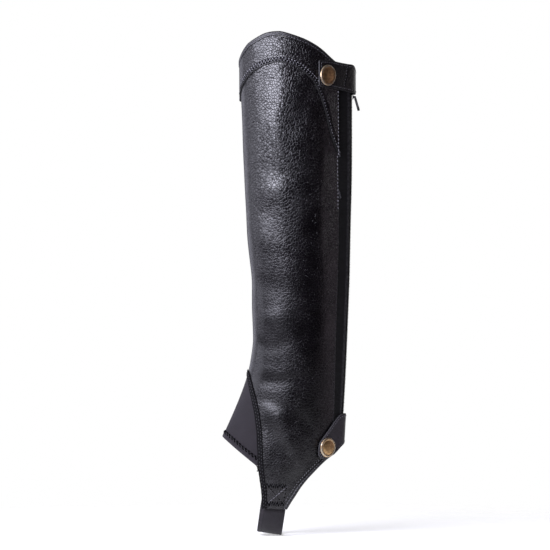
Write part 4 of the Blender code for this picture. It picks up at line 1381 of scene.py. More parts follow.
def make_yoke():
    """The yoke on the outer side, with a rounded lower edge and a groove under each row of its stitches."""
    _, tops, _, highs = body_edges(1.3)
    highs = highs[: len(tops)]
    highs = highs[highs[:, 0] >= YOKE_REACH]
    low = thinned(up_to(yoke_edge(), 1.0), 0.9)
    highs[-1], low[-1] = beside(*highs[-1], -GAP / 2), beside(*low[-1], -GAP / 2)
    down_back = [(highs[-1][0], z) for z in np.linspace(highs[-1][1], low[-1][1] + 0.8, 40)[1:]]
    upper = np.vstack((highs, down_back))
    lengths, upper_lengths = lengths_along(flat_line(low)), lengths_along(flat_line(upper))
    corner = int(np.argmin(np.abs(low[:, 0] - station_of(*YOKE_CORNER, 1))))
    corners = (0, upper_lengths[len(highs) - 1], upper_lengths[-1])
    at = np.interp(lengths, (0, lengths[corner], lengths[-1]), corners)
    stations, heights, _ = between_edges(low, line_at(upper, upper_lengths, at), YOKE_MESH_ROWS, YOKE_ROWS)
    away = distance_to(yoke_edge(), stations, heights)
    outs = GAP + OVERLAY - rounded_off(away, 1.1, 0.45)
    for row in YOKE_STITCHES:
        outs = outs - groove(away, row)
    # This band along the lower edge is painted near black by the yoke's finish: a painted shadow line under
    # the overlay's edge
    edge = np.clip(1.5 - away / 0.6, 0, 1)
    piece = sheet_piece("yoke_leather", stations, heights, outs, OVERLAY, ["Yoke leather"], edge=edge)
    settled(piece, ["yoke"])
    return piece


def over_the_yoke(stations):
    """Where the top edge's binding lies on the yoke: 0 beside it and 1 over it."""
    return np.clip((stations - YOKE_REACH + 0.012) / 0.02, 0, 1)


def make_bindings():
    """The folded strips round the top edge and both back hems."""
    _, _, top, _ = body_edges(1.5)
    strip = band(
        "top_edge_binding", top, lambda t: folded(TOP_BINDING_WIDTH, 1.0 + over_the_yoke(t), 3.1),
        "Binding leather",
    )
    made = [settled(strip, ["top_binding"])]
    for side, name in ((1, "outer"), (-1, "inner")):
        profile = folded(HEM_BINDING_WIDTH, 0.9, 3.0, -side)
        strip = band(
            f"hem_edge_binding_{name}", hem_line(side, 1.5), lambda t: profile, "Binding leather", (-1,)
        )
        made.append(settled(strip, [f"hem_binding_{name}"]))
    return made


# How wide the rolled edge of the stretch panel is beside the zip
ZIP_ROLL = 5.5


def make_stretch_panel():
    """The ribbed panel beside the zip: ridges across it, and a raised roll along the zip."""
    lows, _, _, highs = body_edges(2.0)
    count = len(lows)
    hem = moved(hem_line(1, 1.0), -HEM_BINDING_WIDTH - GAP, (-1,))
    across = np.append(np.linspace(1, 1.6, 9), np.linspace(1.63, 2, 15))
    bottoms = np.column_stack((across, height_on(hem)(across) + GAP))
    uppers = np.column_stack((across, np.interp(across, highs[count - 1 :, 0], highs[count - 1 :, 1])))
    bottoms[0], uppers[0] = beside(*bottoms[0], GAP / 2), beside(*uppers[0], GAP / 2)
    rows = int((uppers[0][1] - bottoms[0][1]) / 0.42)
    stations, heights = plain_grid(bottoms, uppers, rows)
    away = column_distance(stations, heights)
    by_zip = np.arange(len(across))[:, None] > len(across) / 2
    roll = np.where(by_zip, np.clip((ZIP_ROLL - away) / 0.8, 0, 1), 0) + np.zeros(stations.shape)
    rib = 0.12 * np.cos(heights / sizes().rib_pitch * MM * math.tau) * (1 - roll)
    inside = np.clip(away / 1.2, 0, 1)
    beside_roll = np.where(by_zip, groove(away, ZIP_ROLL + 0.7, 0.8, 0.5), 0)
    outs = (rib - 0.16) * inside + 0.3 * roll * inside - beside_roll
    # The roll's mask also paints it paler, sixteen times at most: a painted rim light along the zip's side,
    # with some rubbing
    piece = sheet_piece(
        "stretch_panel_cloth", stations, heights, outs, STRETCH - 0.3, ["Ribbed stretch cloth"], edge=roll
    )
    settled(piece, ["stretch_panel"])
    return piece


# The seam strip's profile as (distance to the seam's right, height off the leather), two rows sewn down
SEAM_STRIP = (
    (-1.0, 0.45), (-1.0, 0.85), (-0.75, 1.02), (-0.2, 1.12), (0.5, 1.14), (0.9, 1.0), (1.3, 1.2),
    (2.0, 1.3), (2.6, 1.2), (3.0, 1.02), (3.4, 1.16), (3.9, 1.08), (4.15, 0.85), (4.2, 0.45),
)
INSTEP_MESH_ROWS = 44


def instep_hem_line(inset):
    """The instep panel's lower edge over the shin, from one seam to the other, this far short of both."""
    hem = np.vstack((side_line(INSTEP_HEM, 1)[:0:-1], side_line(INSTEP_HEM, -1)))
    hem[0], hem[-1] = beside(*hem[0], -inset), beside(*hem[-1], inset)
    return hem


def make_instep():
    """The matt stretch panel over the instep, its turned hem, and the strip over its seam."""
    seam_line = opening_line(1.5)
    strip = band("instep_seam_cover", seam_line, lambda t: SEAM_STRIP, "Seam strip leather", edge_at=(2, 12))
    settled(strip, ["instep_seam_strip"])
    hem = thinned(instep_hem_line(0.3), 1.5)
    profile = folded(INSTEP_BAND_WIDTH, 0.6, 1.8)
    turned_hem = band("instep_turned_hem", hem, lambda t: profile, "Instep stretch cloth", (0, -1))
    settled(turned_hem, ["instep_hem"])
    low = moved(hem, INSTEP_BAND_WIDTH + 2 * GAP, (0, -1))
    arch = thinned(moved(seam_line[seam_line[:, 1] > low[0][1] + 2], -GAP / 2), 1.6)
    lengths = lengths_along(flat_line(low))
    lows = line_at(low, lengths, np.linspace(0, lengths[-1], len(arch)))
    stations, heights = plain_grid(lows[::-1], arch[::-1], INSTEP_MESH_ROWS)
    panel = sheet_piece("instep_panel_cloth", stations, heights, 0.0, STRETCH, ["Instep stretch cloth"])
    settled(panel, ["instep_panel"])
    return [strip, turned_hem, panel]


def chain_line(spacing):
    """The middle of the zip, from the hem to the top."""
    z = np.arange(HEM_AT_ZIP + 1.5, TOP_AT_ZIP - 1.4, spacing)
    return np.column_stack((np.full(len(z), 2.5), z))


# A coil's tooth on the zip's one side, as rings of (x across the zip, z out, half width, half height)
TOOTH = (
    (-0.75, -0.25, 0.14, 0.22), (-0.62, -0.2, 0.42, 0.42), (-0.2, -0.15, 0.5, 0.5), (0.4, -0.2, 0.36, 0.46),
    (1.2, -0.35, 0.34, 0.45), (1.9, -0.65, 0.34, 0.42), (2.35, -1.15, 0.32, 0.36), (2.5, -1.9, 0.26, 0.3),
)

# The columns and rows of a tape's mesh
TAPE_MESH = (13, 240)

# The cord that the coil is sewn round, as (across the zip, out)
CORD = ((-1.9, -2.3), (-1.9, -1.3), (-1.3, -0.5), (0, -0.25), (1.3, -0.5), (1.9, -1.3), (1.9, -2.3))


def tooth_object():
    """The one tooth that is repeated along the zip."""
    rings_of_points = [[(x, w * c, z + h * s) for c, s, _ in turned(1, 0, 6)] for x, z, w, h in TOOTH]
    return swept_piece("coil_tooth", rings_of_points, "Zip coil nylon")


def make_zip():
    """Both tapes, the coil between them, and the cord that the coil is sewn round."""
    made = []
    top = TOP_AT_ZIP - TOP_BINDING_WIDTH - GAP
    shown = (ZIP_OPENING - CHAIN_WIDTH) / 2 - GAP
    for side, station, name, width in ((1, 2.0, "outer", 0.0130), (-1, 3.0, "inner", 0.0103)):
        hem = moved(hem_line(side, 1.0), -side * (HEM_BINDING_WIDTH + GAP), (-1,))
        shifts = np.linspace(-TAPE_UNDER * side, shown * side, TAPE_MESH[0])[::side]
        lows, highs = (
            np.array([beside(station, z, shift) for shift in shifts]) for z in (hem[-1][1] + 0.6, top - 0.6)
        )
        stations, heights = plain_grid(lows, highs, TAPE_MESH[1])
        tape = sheet_piece(f"zip_tape_{name}_cloth", stations, heights, -LEATHER - GAP, TAPE, ["Zip tape"])
        settled(tape, [f"zip_tape_{name}"])
        made.append(tape)
    widths, outs = np.array(CORD).T
    rings_of_points = [
        on_cloth(*np.array([beside(t, z, w) for w in widths]).T, outs)[0] for t, z in chain_line(2.0)
    ]
    cord = swept_piece("zip_coil_core", rings_of_points, "Zip tape")
    made.append(settled(cord, ["zip_chain"]))
    tooth = tooth_object()
    values = {"Pitch": sizes().coil_pitch / 2, "Tooth": tooth, "Finish": finish("Zip coil nylon")}
    line = lines_object("zip_line", [seam(chain_line(1.0), 0.0, 0.8)])
    teeth = from_nodes("zip_coil_teeth", line, coil_tree(), values)
    bpy.data.objects.remove(tooth)
    made.append(settled(teeth))
    return made


def cloth_matrix(station, z, out):
    """A place on the cloth: X round the leg, Y up and Z out of the cloth, in metres."""
    point, normal = (Vector(v) for v in on_cloth(station, z, out))
    ahead, behind = (on_cloth(beside(station, z, step)[0], z)[0] for step in (BESIDE, -BESIDE))
    across = Vector(ahead - behind)
    across = (across - normal * across.dot(normal)).normalized()
    turn = Matrix((across, normal.cross(across), normal)).transposed().to_4x4()
    return Matrix.Translation(point * MM) @ turn


def from_shell(name, shell, matrix, bevel=0.0):
    """A metal piece from a shell in millimetres at a place, its edges rounded and masked for wear."""
    if bevel:
        sharp = [e for e in shell.edges if e.is_manifold and e.calc_face_angle(0) > BEVELLED_ANGLE]
        bmesh.ops.bevel(shell, geom=sharp, offset=bevel, segments=2, affect="EDGES", profile=0.6)
    bmesh.ops.recalc_face_normals(shell, faces=shell.faces)
    shell.verts.ensure_lookup_table()
    mask = np.array([
        min(1.0, max((e.calc_face_angle(0) for e in v.link_edges if e.is_manifold), default=0) / 0.6)
        for v in shell.verts
    ])
    points = np.array([matrix @ (v.co * MM) for v in shell.verts]) / MM
    faces = [[v.index for v in f.verts] for f in shell.faces]
    shell.free()
    return new_piece(name, points, faces, ["Blackened metal"], edge=mask)


def walls(shell, first, last):
    """Faces between two like loops of a shell's points."""
    for k in range(len(first)):
        j = (k + 1) % len(first)
        shell.faces.new((first[k], first[j], last[j], last[k]))


def prism(first, last):
    """A closed shell between two like outlines."""
    shell = bmesh.new()
    first, last = ([shell.verts.new(point) for point in outline] for outline in (first, last))
    shell.faces.new(first[::-1])
    shell.faces.new(last)
    walls(shell, first, last)
    return shell


def plate(outline, low, high):
    """A shell over an outline of (x, y) from one height to another."""
    return prism(*([(x, y, z) for x, y in outline] for z in (low, high)))


def mirrored(half, signs=(-1, 1)):
    """A closed outline from its one half and that half's mirror image."""
    return [*half, *((x * signs[0], y * signs[1]) for x, y in half[::-1])]


def joined_pieces(name, pieces):
    """Several metal meshes as one piece."""
    shell = bmesh.new()
    for piece in pieces:
        shell.from_mesh(piece.data)
        bpy.data.objects.remove(piece)
    mesh = bpy.data.meshes.new(name)
    shell.to_mesh(mesh)
    shell.free()
    mesh.materials.append(finish("Blackened metal"))
    return linked(name, mesh)


# The slider's plate from its end to its shoulders, as shares of half its width and half its length
SLIDER_SIDE = ((0.62, -1), (0.74, -0.2), (1, 0.35), (1, 0.8), (0.72, 1), (0.16, 0.86))
LUG_HALF = 0.4
LUG_AT = PULL_WIDTH / 2 + GAP + LUG_HALF
LUG_TOP = PIVOT_OUT + 2 * PIN_RADIUS

# A lug as (distance up the slider from the pin, height)
LUG = (
    (-1.1, SLIDER_TOP - 0.2), (1.7, SLIDER_TOP - 0.2), (1.1, LUG_TOP - 0.5), (0.5, LUG_TOP), (-0.5, LUG_TOP),
    (-1.1, LUG_TOP - 0.6),
)


def slider_body(on_chain):
    """The slider: a shouldered plate with two lugs and the pin between them."""
    outline = mirrored([(x * SLIDER_WIDTH / 2, y * SLIDER_LENGTH / 2) for x, y in SLIDER_SIDE])
    parts = [from_shell("slider_plate", plate(outline, SLIDER_BASE, SLIDER_TOP), on_chain, 0.22)]
    for side in (1, -1):
        faces = [[(side * LUG_AT + x, y - PIVOT_DROP, z) for y, z in LUG] for x in (-LUG_HALF, LUG_HALF)]
        parts.append(from_shell(f"slider_lug_{side}", prism(*faces), on_chain, 0.15))
    pin = bmesh.new()
    bmesh.ops.create_cone(
        pin, cap_ends=True, segments=16, radius1=PIN_RADIUS, radius2=PIN_RADIUS, depth=2 * LUG_AT,
        matrix=Matrix.Translation((0, -PIVOT_DROP, PIVOT_OUT)) @ Matrix.Rotation(math.pi / 2, 4, "Y"),
    )
    parts.append(from_shell("slider_pin", pin, on_chain, 0.1))
    return settled(joined_pieces("zip_slider_metal", parts), ["zip_slider"])


EYE_SIDES = 28
PULL_RIBS = 3


def slider_pull(on_chain):
    """The pull that hangs from the slider's pin: its eye, its waisted blade and three ribs to grip."""
    pin = Matrix.Translation(Vector((0, -PIVOT_DROP, PIVOT_OUT)) * MM)
    on_pin = on_chain @ pin @ Matrix.Rotation(-PULL_HANG, 4, "X")
    half, top, end = PULL_WIDTH / 2, -(EYE_HOLE + EYE_RADIUS) / 2, -PULL_LENGTH
    eye = bmesh.new()
    corners = (EYE_HOLE, 0.12), (EYE_HOLE + 0.1, 0), (EYE_RADIUS - 0.12, 0), (EYE_RADIUS, 0.12)
    profile = mirrored([(r, x - half) for r, x in corners], (1, -1))
    loops = [[eye.verts.new((x, r * c, r * s)) for r, x in profile] for c, s, _ in turned(1, 0, EYE_SIDES)]
    for here, there in zip(loops, loops[1:] + loops[:1]):
        walls(eye, here, there)
    outline = mirrored([
        (-half * 0.72, top), (-half * 0.6, top - 2.6), (-half * 0.66, top - 4.2), (-half, end + 4.5),
        (-half, end + 1.2), (-half * 0.62, end),
    ])
    face = PULL_THICKNESS - 0.5
    parts = [
        from_shell("pull_eye", eye, on_pin),
        from_shell("pull_blade", plate(outline, -face, face), on_pin, 0.25),
    ]
    for k in range(PULL_RIBS):
        y = end + 1.9 + k
        outline = mirrored([(-half * 0.62, y - 0.2), (-half * 0.62, y + 0.2)])
        parts.append(from_shell(f"pull_rib_{k}", plate(outline, 0, face + 0.16), on_pin, 0.08))
    return settled(joined_pieces("zip_pull_metal", parts), ["zip_pull"], body="pull")


def make_slider():
    """The zip's slider and its pull."""
    on_chain = cloth_matrix(2.5, SLIDER_AT, 0.0)
    return [slider_body(on_chain), slider_pull(on_chain)]


TABS = {
    "top": (TOP_TAB, TOP_TAB_BACK, TOP_TAB_OUTS),
    "bottom": (BOTTOM_TAB, BOTTOM_TAB_BACK, BOTTOM_TAB_OUTS),
}
TAB_RIM = (0.0, 0.25, 0.7, 1.5)
TAB_ROWS = 30


def tab_grid(which):
    """Stations, heights and outs of a snap tab's face, from its free end to its seam, and its distances."""
    side_rows, back_rows, outs = TABS[which]
    edges, shared = [], None
    for column in (2, 1):
        at_side = [(station_of(row[0], row[column], 1), row[column]) for row in side_rows]
        at_back = [(row[0], row[column]) for row in back_rows]
        flat = smooth_path(flat_line(np.array(at_side + at_back)), 8)
        place = np.linspace(0, 1, len(flat))
        if shared is None:
            lengths = lengths_along(flat)
            steps = max(2, round((lengths[-1] - 2 * TAB_RIM[-1]) / 0.8))
            shared = np.interp(border_places(lengths[-1], steps, TAB_RIM), lengths, place)
        g, z = line_at(flat, place, shared).T
        edges.append(np.column_stack((station_at(g, z), z)))
    heights_off = np.interp(shared * (len(outs) - 1), range(len(outs)), outs)
    stations, heights, away = between_edges(*edges, TAB_ROWS)
    return stations, heights, heights_off[:, None], np.minimum(away, column_distance(stations, heights))


def make_tab(which, finish_name):
    """A snap tab that is folded round the back. A crease runs over the top one where it turns."""
    stations, heights, outs, away = tab_grid(which)
    outs = outs - rounded_off(away, 0.8)
    if which == "top":
        outs = outs - groove(distance_to(side_line(TOP_TAB_SEAM, 1), stations, heights), 0, 0.7, 0.45)
    finishes, edge = [finish_name, "Cut leather edge"], near_edge(away, 1.1)
    piece = sheet_piece(f"{which}_snap_tab", stations, heights, outs, TAB_THICKNESS, finishes, edge=edge)
    settled(piece, [f"{which}_tab"])
    return piece


def make_tabs():
    """Both snap tabs."""
    return [
        make_tab("top", "Tab leather"),
        # The bottom tab's leather is painted six times lighter than the top one's: painted light, besides its
        # rubbed, matter face
        make_tab("bottom", "Rubbed tab leather"),
    ]


def tab_seam(which, inset=2.3, last=0.97):
    """A line of stitches round a tab's free end, this far inside its edge."""
    stations, heights, outs, _ = tab_grid(which)
    flat = np.stack((girth_at(stations, heights), heights), -1)
    share = np.clip(inset / np.linalg.norm(flat[:, -1] - flat[:, 0], axis=1), 0, 0.5)
    first = int(np.searchsorted(lengths_along(flat.mean(axis=1)), inset))
    final = int(last * (len(flat) - 1))
    path = [(c, share[c]) for c in range(final, first, -1)]
    path += [(first, s) for s in np.linspace(share[first], 1 - share[first], 9)]
    path += [(c, 1 - share[c]) for c in range(first + 1, final + 1)]
    g, z = np.array([flat[c, 0] * (1 - s) + flat[c, -1] * s for c, s in path]).T
    return on_cloth(station_at(g, z), z, outs[[c for c, _ in path], 0] + 0.12)


# A snap's cap as (radius, height): its face from the middle, round the rolled rim and back under
SNAP_PROFILE = (
    (0.0, 2.62), (1.6, 2.60), (3.2, 2.52), (4.8, 2.38), (6.2, 2.18), (7.0, 2.02), (7.5, 1.86), (7.9, 1.84),
    (8.3, 1.98), (8.9, 2.10), (9.5, 2.02), (10.0, 1.74), (10.35, 1.3), (10.5, 0.75), (10.35, 0.3),
    (9.9, 0.05), (9.0, 0.0),
)
SNAP_SIDES = 56


def make_snap(which, place, base, share=1.0):
    """A snap's cap: its profile turned about its axis, the rim masked as worn."""
    y, z = place
    matrix = cloth_matrix(station_of(y, z, 1), z, base)
    points, masks = [(0, 0, SNAP_PROFILE[0][1])], [0.0]
    for radius, height in SNAP_PROFILE[1:]:
        points += turned(share * radius, height, SNAP_SIDES)
        masks += [float(np.clip((radius - 8.0) / 0.7, 0, 1))] * SNAP_SIDES
    faces = fan_faces(SNAP_SIDES) + ring_faces(len(SNAP_PROFILE) - 1, SNAP_SIDES, 1, flip=True)
    faces.append(list(range(len(points) - SNAP_SIDES, len(points)))[::-1])
    points = np.array([matrix @ (Vector(point) * MM) for point in points]) / MM
    piece = new_piece(f"{which}_snap_cap", points, faces, ["Antique brass"], edge=masks)
    return settled(piece, [f"{which}_snap"])


def make_snaps():
    """Both snap caps."""
    return [
        make_snap("top", TOP_SNAP_AT, TOP_TAB_OUTS[2] + GAP),
        make_snap("bottom", BOTTOM_SNAP_AT, BOTTOM_TAB_OUTS[0] + GAP, 0.94),
    ]


def strap_side_view(across, down):
    """(y, z) of a place across the strap and down its length."""
    lean_cos, lean_sin = math.cos(STRAP_LEAN), math.sin(STRAP_LEAN)
    length = (STRAP_TOP - STRAP_BOTTOM) / lean_cos
    y = STRAP_CENTRE_Y + across * lean_cos - (down - length / 2) * lean_sin
    return y, STRAP_TOP - down * lean_cos - across * lean_sin


def strap_path(across):
    """(x, down) along the strap's loop at one place across it, from the outer flap to the inner one."""
    length = (STRAP_TOP - STRAP_BOTTOM) / math.cos(STRAP_LEAN)
    path = []
    for side in (1, -1):
        branch = []
        for down in np.linspace(0, length - STRAP_BEND, 14):
            y, z = strap_side_view(across, down)
            points, girths, _ = ring_at(z)
            x = np.interp(float(girth_at(station_of(y, z, side), z)) % girths[-1], girths, points[:, 0])
            branch.append((x - side * STRAP_INSET, down))
        x, down = branch[-1]
        for a in np.linspace(0, math.pi / 2, 13)[1:]:
            bent = side * STRAP_BEND * (1 - math.cos(a))
            branch.append((x - bent, down + STRAP_BEND * math.sin(a)))
        path += branch if side > 0 else branch[::-1]
    return np.array(path)


# The strap over its width, its selvage first: (share of the way across, millimetres added to each face)
STRAP_RELIEF = (
    (0.0, -0.30), (0.02, -0.06), (0.05, -0.04), (0.085, 0.08), (0.125, 0.08), (0.145, -0.06), (0.165, -0.22),
    (0.19, -0.03), (0.35, 0.02), (0.5, 0.03), (0.65, 0.02), (0.82, 0.0), (0.855, -0.04), (0.875, -0.2),
    (0.9, -0.02), (0.95, 0.03), (0.985, -0.06), (1.0, -0.30),
)
STRAP_PALE = (0.07, 0.135)


def make_strap():
    """The elastic band that is sewn inside both flaps and goes under the foot."""
    shares, relief = np.array(STRAP_RELIEF).T
    spread = (shares - 0.5) * STRAP_WIDTH
    paths = [strap_path(across) for across in spread]
    count, along = len(paths[0]), lengths_along(paths[len(paths) // 2])
    rings_of_points, maps = [], []
    for k in range(count):
        upper, lower = [], []
        for across, extra, path in zip(spread, relief, paths):
            tangent = unit(path[min(k + 1, count - 1)] - path[max(k - 1, 0)])
            normal = np.array((tangent[1], -tangent[0]))
            for sign, face in ((1, upper), (-1, lower)):
                x, down = path[k] + normal * sign * (WEBBING / 2 + extra)
                face.append((x, *strap_side_view(across, down)))
        rings_of_points.append(upper + lower[::-1])
        maps += [(share * STRAP_WIDTH, along[k]) for share in (*shares, *shares[::-1])]
    pale = ((shares > STRAP_PALE[0]) & (shares < STRAP_PALE[1])).astype(float)
    mask = np.tile(np.append(pale, pale[::-1]), count)
    piece = swept_piece("foot_strap_webbing", rings_of_points, "Elastic webbing", maps, mask)
    settled(piece, ["foot_strap"])
    return piece


# The corners of the strap's crossed box on each flap, and its bar tacks above and below, in the side view
BOX = {"a": (-29.2, -292.6), "b": (-9.4, -295.4), "c": (-12.8, -312.6), "d": (-29.6, -312.8)}
BARS = (((-29.2, -294.0), (-9.4, -294.9)), ((-29.0, -312.0), (-11.8, -312.4)))


def box_lines(*pairs):
    """Lines between corners of the strap's crossed box, on both flaps."""
    ends = [[BOX[corner] for corner in pair] for pair in pairs]
    return [seam(side_line(pair, side), 0.15) for side in (1, -1) for pair in ends]


def bar_lines(out):
    """The bar tacks' lines on both flaps, this far off the leather."""
    return [seam(side_line(ends, side), out) for ends in BARS for side in (1, -1)]


# How each seam is sewn: pitch, length of a stitch or width of a zigzag, thickness of the thread and its sink
# in millimetres, seed, and thread
RUNNING = {
    # The pale thread paints a stronger highlight on the yoke's stitches and on the zip's upper ones
    "yoke_stitches": (3.2, 2.2, 1.0, 0.28, 3, "Pale sewing thread"),
    # Black thread sunk under the yoke's stitches: painted shade in their holes
    "yoke_stitch_holes": (1.6, 2.0, 1.3, 0.28, 3, "Black sewing thread"),
    "zip_edge_stitches": (3.6, 2.4, 0.95, 0.28, 3, "Pale sewing thread"),
    "zip_edge_lower_stitches": (3.6, 2.4, 0.8, 0.28, 3, "Dim sewing thread"),
    "binding_stitches": (3.0, 2.2, 0.75, 0.2, 7, "Sewing thread"),
    "seam_cover_stitches": (3.3, 2.1, 0.8, 0.3, 9, "Dull thread"),
    "tab_stitches": (3.0, 2.2, 0.75, 0.28, 11, "Sewing thread"),
    "instep_hem_dots": (4.4, 2.2, 1.3, 0.1, 21, "Dim sewing thread"),
    "strap_box_stitches": (3.2, 2.6, 0.9, 0.28, 13, "Black sewing thread"),
    # One diagonal of the crossed box is in the lighter thread and the rest in black: a painted highlight on
    # that diagonal
    "strap_cross_stitches": (3.3, 3.0, 1.2, 0.28, 15, "Sewing thread"),
}
ZIGZAGS = {
    "instep_hem_stitches": (2.2, 3.2, 1.0, 0.4, 5, "Black sewing thread"),
    # A dense black zigzag under the bar tacks' strokes: painted shade in the gaps between them
    "strap_bar_ground": (1.1, 4.6, 1.1, 0.4, 17, "Black sewing thread"),
    "strap_bar_strokes": (2.2, 4.2, 0.8, 0.4, 23, "Dim sewing thread"),
    "bar_tacks": (0.8, 2.4, 0.5, 0.4, 19, "Sewing thread"),
}

# Where the stitches beside the zip turn from pale to dim thread, painted light above and painted shade below,
# and the heights of the bar tacks there
DIM_BELOW = -18.0
TACKS = (((36.5, 0.4), (34.0, 2.4)), ((-1.0, -0.2), (-8.0, 2.0)))


def sewn(name, lines):
    """A seam's thread, laid along its lines."""
    table, tree, second = (
        (RUNNING, stitch_tree(), "Stitch length") if name in RUNNING else (ZIGZAGS, zigzag_tree(), "Width")
    )
    pitch, length, thread, sink, seed, coloured = table[name]
    values = {
        "Pitch": pitch * MM, second: length * MM, "Thread": thread * MM, "Sink": sink * MM, "Seed": seed,
        "Finish": finish(coloured),
    }
    piece = from_nodes(name, lines_object(name + "_lines", lines), tree, values)
    return settled(piece)


def yoke_seams():
    """Two rows along the yoke's edge, the second one only along its arch, and the holes under them."""
    yoke, out = yoke_edge(), GAP + OVERLAY - 0.1
    rows = [
        seam(moved(line, -row), out) for line, row in zip((yoke, yoke[yoke[:, 1] > 106]), YOKE_STITCHES)
    ]
    shade_rows = [(points - 0.2 * outward, outward) for points, outward in rows]
    return {"yoke_stitches": rows, "yoke_stitch_holes": shade_rows}


def zip_seams():
    """The rows down both sides of the zip, over the yoke's tail on the outer side."""
    z = np.arange(-244.0, 99.0, 2.0)
    over_tail = np.where(z > YOKE_EDGE[-1][1] - 3, GAP + OVERLAY + 0.2, 0.2)
    points, outward = seam(np.array([beside(1.0, h, -1.9) for h in z]), over_tail)
    inner = seam(np.array([beside(-1.0, h, 2.0) for h in np.arange(-246.0, 94.0, 2.0)]), 0.2)
    # The same row is painted lighter above this height and darker below it, standing in for how light falls
    # on it
    upper = points[:, 2] > DIM_BELOW
    return {
        "zip_edge_stitches": [(points[upper], outward[upper])],
        "zip_edge_lower_stitches": [(points[~upper], outward[~upper]), inner],
    }


def binding_seams():
    """The rows along the top edge's binding, the hems' bindings and the leather beside those."""
    _, _, top, _ = body_edges(2.0)
    lines = [seam(moved(top, TOP_BINDING_WIDTH * SEWN_AT), 0.84 + over_the_yoke(top[:, 0]))]
    for side in (1, -1):
        hem = hem_line(side, 2.0)[:-2]
        lines.append(seam(moved(hem, -side * HEM_BINDING_WIDTH * SEWN_AT), 0.72))
        lines.append(seam(moved(hem[4:], -side * (HEM_BINDING_WIDTH + 2.2)), 0.1))
    return lines


def make_stitching():
    """All the sewing that shows: running rows, zigzags, bar tacks and the strap's crossed box."""
    cover = opening_line(2.0)
    hem = [seam(moved(instep_hem_line(2.4), INSTEP_BAND_WIDTH - 0.6), 0.7)]
    tacks = [seam(np.array([beside(1.0, z, shift) for z, shift in tack]), 0.3, 0.5) for tack in TACKS]
    seams = yoke_seams() | zip_seams() | {
        "binding_stitches": binding_seams(),
        "seam_cover_stitches": [seam(moved(cover, 0.9), 1.1), seam(moved(cover[1:], 3.0), 1.12)],
        "tab_stitches": [
            tab_seam("top"), tab_seam("bottom"), seam(side_line(TOP_TAB_SEAM, 1), TOP_TAB_OUTS[4] - 0.25),
        ],
        "instep_hem_stitches": hem,
        "instep_hem_dots": hem,
        "strap_box_stitches": box_lines("ad", "bc", "ac"),
        "strap_cross_stitches": box_lines("bd"),
        "strap_bar_ground": bar_lines(0.12),
        "strap_bar_strokes": bar_lines(0.4),
        "bar_tacks": tacks,
    }
    return [sewn(name, lines) for name, lines in seams.items()]


# The studio


# Soft boxes: name, angle round from the camera towards the shin, metres away, width, lower and upper edge,
# brightness and colour
COOL, WARM, PLAIN = (0.86, 0.86, 1.0), (1.0, 0.84, 0.98), (1.0, 1.0, 1.0)
SOFT_BOXES = (
    ("Key", 27, 0.85, 0.46, 0.03, 0.50, 18.0, COOL),
    ("Key by the shin", 57, 0.85, 0.46, 0.0, 0.50, 9.8, COOL),
    ("Under the key", 42, 0.85, 0.92, -0.14, 0.03, 1.3, COOL),
    ("Below the key", 42, 0.85, 0.92, -0.60, -0.14, 0.34, COOL),
    ("Shin", 97, 1.3, 1.0, -0.30, 0.90, 2.1, COOL),
    ("Behind the shin", 145, 1.4, 0.9, -0.65, 0.70, 0.9, COOL),
    ("Back rim", -95, 1.6, 0.4, -0.60, 0.50, 0.6, WARM),
    ("Far side", 215, 1.6, 0.9, -0.50, 1.10, 2.2, PLAIN),
)
TOP_LIGHT = 1.5


def soft_light(name, place, aim, size, brightness, colour):
    """A soft box that points at a place and isn't seen itself."""
    light = bpy.data.lights.new(name, "AREA")
    light.shape = "RECTANGLE"
    light.size, light.size_y = size
    light.energy = brightness * math.pi * size[0] * size[1]
    light.color = colour
    lamp = linked(name, light)
    lamp.location = place
    lamp.rotation_euler = (Vector(aim) - Vector(place)).to_track_quat("-Z", "Y").to_euler()
    lamp.visible_camera = False


# The photograph's frame: 550 pixels, one to a millimetre, its middle at this y and z. Then the camera's
# distance in metres, its rise over the level, and its sensor in millimetres
PICTURE = 550
PICTURE_MIDDLE = (-21.0, -85.0)
CAMERA_AWAY = 8.0
CAMERA_RISE = math.radians(1.5)
SENSOR = 36


def light_all():
    """The soft boxes round the chap, and one above it."""
    middle = PICTURE_MIDDLE[0] * MM
    for name, turn, away, width, low, high, brightness, colour in SOFT_BOXES:
        turn = math.radians(turn)
        z = (low + high) / 2
        place = (away * math.cos(turn), middle - away * math.sin(turn), z)
        soft_light(name, place, (0, middle, z), (width, high - low), brightness, colour)
    soft_light("Top", (0.5, middle, 1.3), (0, middle, 0), (0.8, 0.8), TOP_LIGHT, PLAIN)


FLOOR_RINGS = 24
FLOOR_SIDES = 96


def make_floor():
    """A pale round floor that fades out into the background."""
    radius, z = FLOOR_RADIUS / MM, FLOOR_AT / MM
    points = [(0.0, 0.0, z)]
    for k in range(1, FLOOR_RINGS + 1):
        points += turned(radius * k / FLOOR_RINGS, z, FLOOR_SIDES)
    faces = fan_faces(FLOOR_SIDES) + ring_faces(FLOOR_RINGS, FLOOR_SIDES, 1, flip=True)
    floor = new_piece("floor", points, faces, ["Pale floor"])


def make_world():
    """A white background for the camera, and a dim room for everything else."""
    world = bpy.context.scene.world or bpy.data.worlds.new("Studio")
    bpy.context.scene.world = world
    world.use_nodes = True
    tree = world.node_tree
    tree.nodes.clear()
    seen = add_node(tree, "ShaderNodeLightPath").outputs["Is Camera Ray"]
    room = add_node(tree, "ShaderNodeBackground", {"Color": (0.94, 0.80, 1.0, 1), "Strength": 0.024})
    white = add_node(tree, "ShaderNodeBackground", {"Color": (1, 1, 1, 1), "Strength": 1.0})
    both = add_node(tree, "ShaderNodeMixShader", {0: seen, 1: room.outputs[0], 2: white.outputs[0]})
    add_node(tree, "ShaderNodeOutputWorld", {"Surface": both.outputs[0]})


